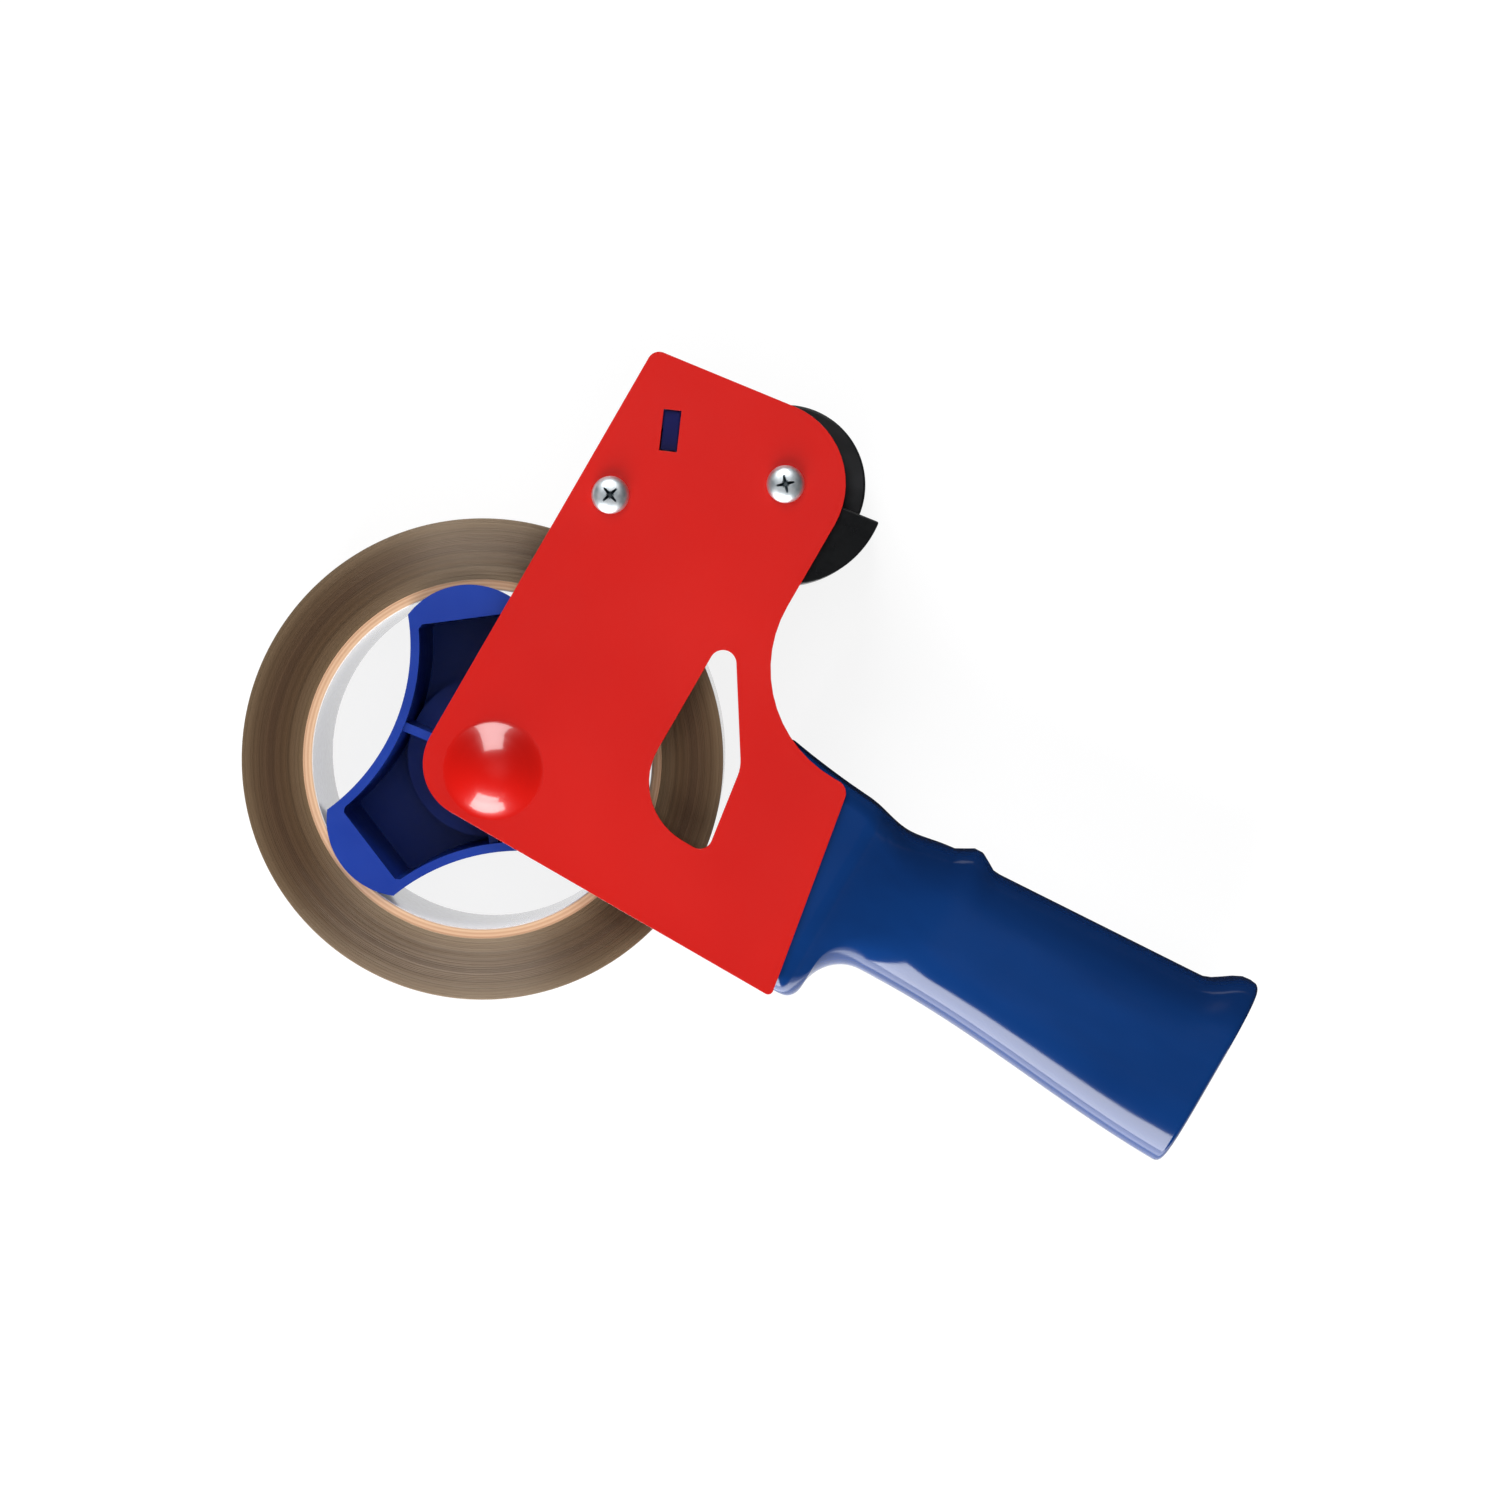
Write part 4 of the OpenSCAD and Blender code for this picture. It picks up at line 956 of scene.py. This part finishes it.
def makeScrews(name, given):
    aim = Vector(given["aim"]).normalized()
    seats = screwPlaces(given["node"], aim)
    scale = seats[0][3] / 2 / (screwHead["radius"] * mm)
    tall = screwHead["height"] * mm * scale
    points = [centre + aim * (top - tall) for centre, foot, top, width in seats]
    length = min(top - tall - foot for centre, foot, top, width in seats) - 0.1 * mm
    mesh = bpy.data.meshes.new(name + "Points")
    mesh.from_pydata(points, [], [])
    marks = mesh.attributes.new("aim", "FLOAT_VECTOR", "POINT")
    for i in range(len(points)):
        marks.data[i].vector = aim
    made = runTree(looseObject(mesh), screwRow, screwRowIds, {
        "Head": headObject, "Head Scale": scale, "Shank Radius": given["shank"] * mm / 2,
        "Shank Length": length, "Turn Seed": given["seed"], "Finish": finishes["zinc_plate"]}, name)
    newPiece(name, made, [given["node"]])


bladeTurn = math.radians(113.4)  # the wall that carries the blade
bladeOut = (-math.sin(bladeTurn), math.cos(bladeTurn), 0)
screwSettings = {  # the way the heads face, the shank's width in millimetres, the seed of their turns
    "carrierScrew": {"node": "carrier_screw", "aim": (0, 0, 1), "shank": 3.9, "seed": 3},
    "rollerScrew": {"node": "roller_screw", "aim": (0, 0, 1), "shank": 4.9, "seed": 8},
    "handleScrews": {"node": "handle_screws", "aim": (0, 0, -1), "shank": 2.9, "seed": 2},
    "bladeScrews": {"node": "blade_screws", "aim": bladeOut, "shank": 2.9, "seed": 6}}

for name, given in screwSettings.items():
    makeScrews(name, given)
bpy.data.objects.remove(headObject)
print("screws placed")


def plainMaterial(name, code):  # matt and even: for the studio only
    material = bpy.data.materials.new(name)
    material.use_nodes = True
    surface = material.node_tree.nodes["Principled BSDF"]
    surface.inputs["Base Color"].default_value = hexColour(code)
    surface.inputs["Roughness"].default_value = 0.9
    return material


def flatSheet(name, low, high, z, material):
    corners = (low, (high[0], low[1]), high, (low[0], high[1]))
    mesh = bpy.data.meshes.new(name)
    mesh.from_pydata([(x, y, z) for x, y in corners], [], [(0, 1, 2, 3)])
    mesh.materials.append(material)
    return looseObject(mesh, name)


floorSettings = {"reach": 6.0, "under": 0.4 * mm, "paper": "E9ECEE", "shade": 0.18, "glow": 0.86}


def makeFloor(given):
    # lamps and matt faces see plain paper; the camera and mirror views see it lit to near white
    material = plainMaterial("paperFloor", given["paper"])
    tree = material.node_tree
    shade = outOf(tree, "ShaderNodeBsdfDiffuse", {"Color": (given["shade"],) * 3 + (1,)})
    rays = addNode(tree, "ShaderNodeLightPath").outputs
    seen = outOf(tree, "ShaderNodeMath", links={0: rays["Is Camera Ray"], 1: rays["Is Glossy Ray"]},
                 operation="MAXIMUM")
    glow = outOf(tree, "ShaderNodeEmission", {"Color": (1, 1, 1, 1), "Strength": given["glow"]})
    added = outOf(tree, "ShaderNodeAddShader", links={0: shade, 1: glow})
    paper = tree.nodes["Principled BSDF"].outputs[0]
    mixed = outOf(tree, "ShaderNodeMixShader", links={"Fac": seen, 1: paper, 2: added})
    tree.links.new(mixed, tree.nodes["Material Output"].inputs["Surface"])
    reach, z = given["reach"], cadBox[0].z - given["under"]
    flatSheet("studioFloor", (-reach, -reach), (reach, reach), z, material)


flagSettings = {"low": (0.058, 0.026), "high": (2.5, 3.0), "z": 0.001, "colour": "0A0A0B"}


def makeFlag(given):
    # a black card just over the floor, from under the handle outwards, keeps the handle's upper
    # edge dark: only mirror views meet it
    flag = flatSheet("blackFlag", given["low"], given["high"], given["z"],
                     plainMaterial("blackVelvet", given["colour"]))
    flag.visible_camera = flag.visible_diffuse = flag.visible_shadow = False


# mirror views see a darker room than matt faces do
worldSettings = {"matt": 0.15, "mirror": 0.05, "tint": (0.95, 0.97, 1.0, 1)}


def makeWorld(given):
    world = bpy.data.worlds.new("paleStudio")
    scene.world = world
    world.use_nodes = True
    tree = world.node_tree
    tree.nodes.clear()
    rays = addNode(tree, "ShaderNodeLightPath").outputs
    level = span(tree, rays["Is Glossy Ray"], given["matt"], given["mirror"])
    plain = outOf(tree, "ShaderNodeBackground", {"Color": given["tint"]}, {"Strength": level})
    white = outOf(tree, "ShaderNodeBackground", {"Color": (1, 1, 1, 1), "Strength": 1.0})
    mixed = outOf(tree, "ShaderNodeMixShader", links={"Fac": rays["Is Camera Ray"], 1: plain, 2: white})
    addNode(tree, "ShaderNodeOutputWorld", links={"Surface": mixed})


lightSettings = [  # name, where it stands, what it aims at, size across and up, watts
    ("topSoftbox", (-0.37, 0.52, 0.67), (0.04, 0.03, 0.03), (0.46, 0.5), 5.4),
    ("bottomSoftbox", (0.20, -0.59, 0.35), (0.04, 0.03, 0.35), (0.55, 0.66), 11.6),
    ("lowSoftbox", (0.16, -0.28, 0.002), (0.16, -0.28, 1.0), (0.42, 0.44), 1.9),
    ("overheadFill", (0.06, 0.04, 1.0), (0.06, 0.04, 0.0), (0.45, 0.45), 2.0)]


def makeLights(given):
    for name, place, aimAt, size, watts in given:
        lamp = bpy.data.lights.new(name, "AREA")
        lamp.shape = "RECTANGLE"
        lamp.size, lamp.size_y = size
        lamp.energy = watts
        obj = bpy.data.objects.new(name, lamp)
        obj.visible_camera = False
        obj.visible_glossy = name != "overheadFill"  # it lights the wells and leaves no mirror spot
        obj.location = place
        obj.rotation_euler = (Vector(aimAt) - Vector(place)).to_track_quat("-Z", "Y").to_euler()
        scene.collection.objects.link(obj)


cameraSettings = {"place": (0.0396, 0.0599, 1.1335), "turn": 30.0, "lens": 116.04, "sensor": 36,
                  "shift": (-0.01267, -0.08933), "farClip": 20}


def makeCamera(given):
    camera = bpy.data.cameras.new("viewCamera")
    camera.lens = given["lens"]
    camera.sensor_width = given["sensor"]
    camera.shift_x, camera.shift_y = given["shift"]
    camera.clip_end = given["farClip"]
    eye = bpy.data.objects.new("viewCamera", camera)
    eye.location = given["place"]
    eye.rotation_euler = (0, 0, math.radians(given["turn"]))
    scene.collection.objects.link(eye)
    scene.camera = eye


makeFloor(floorSettings)
makeFlag(flagSettings)
makeWorld(worldSettings)
makeLights(lightSettings)
makeCamera(cameraSettings)
scene.view_settings.view_transform = "Standard"
print("studio ready")
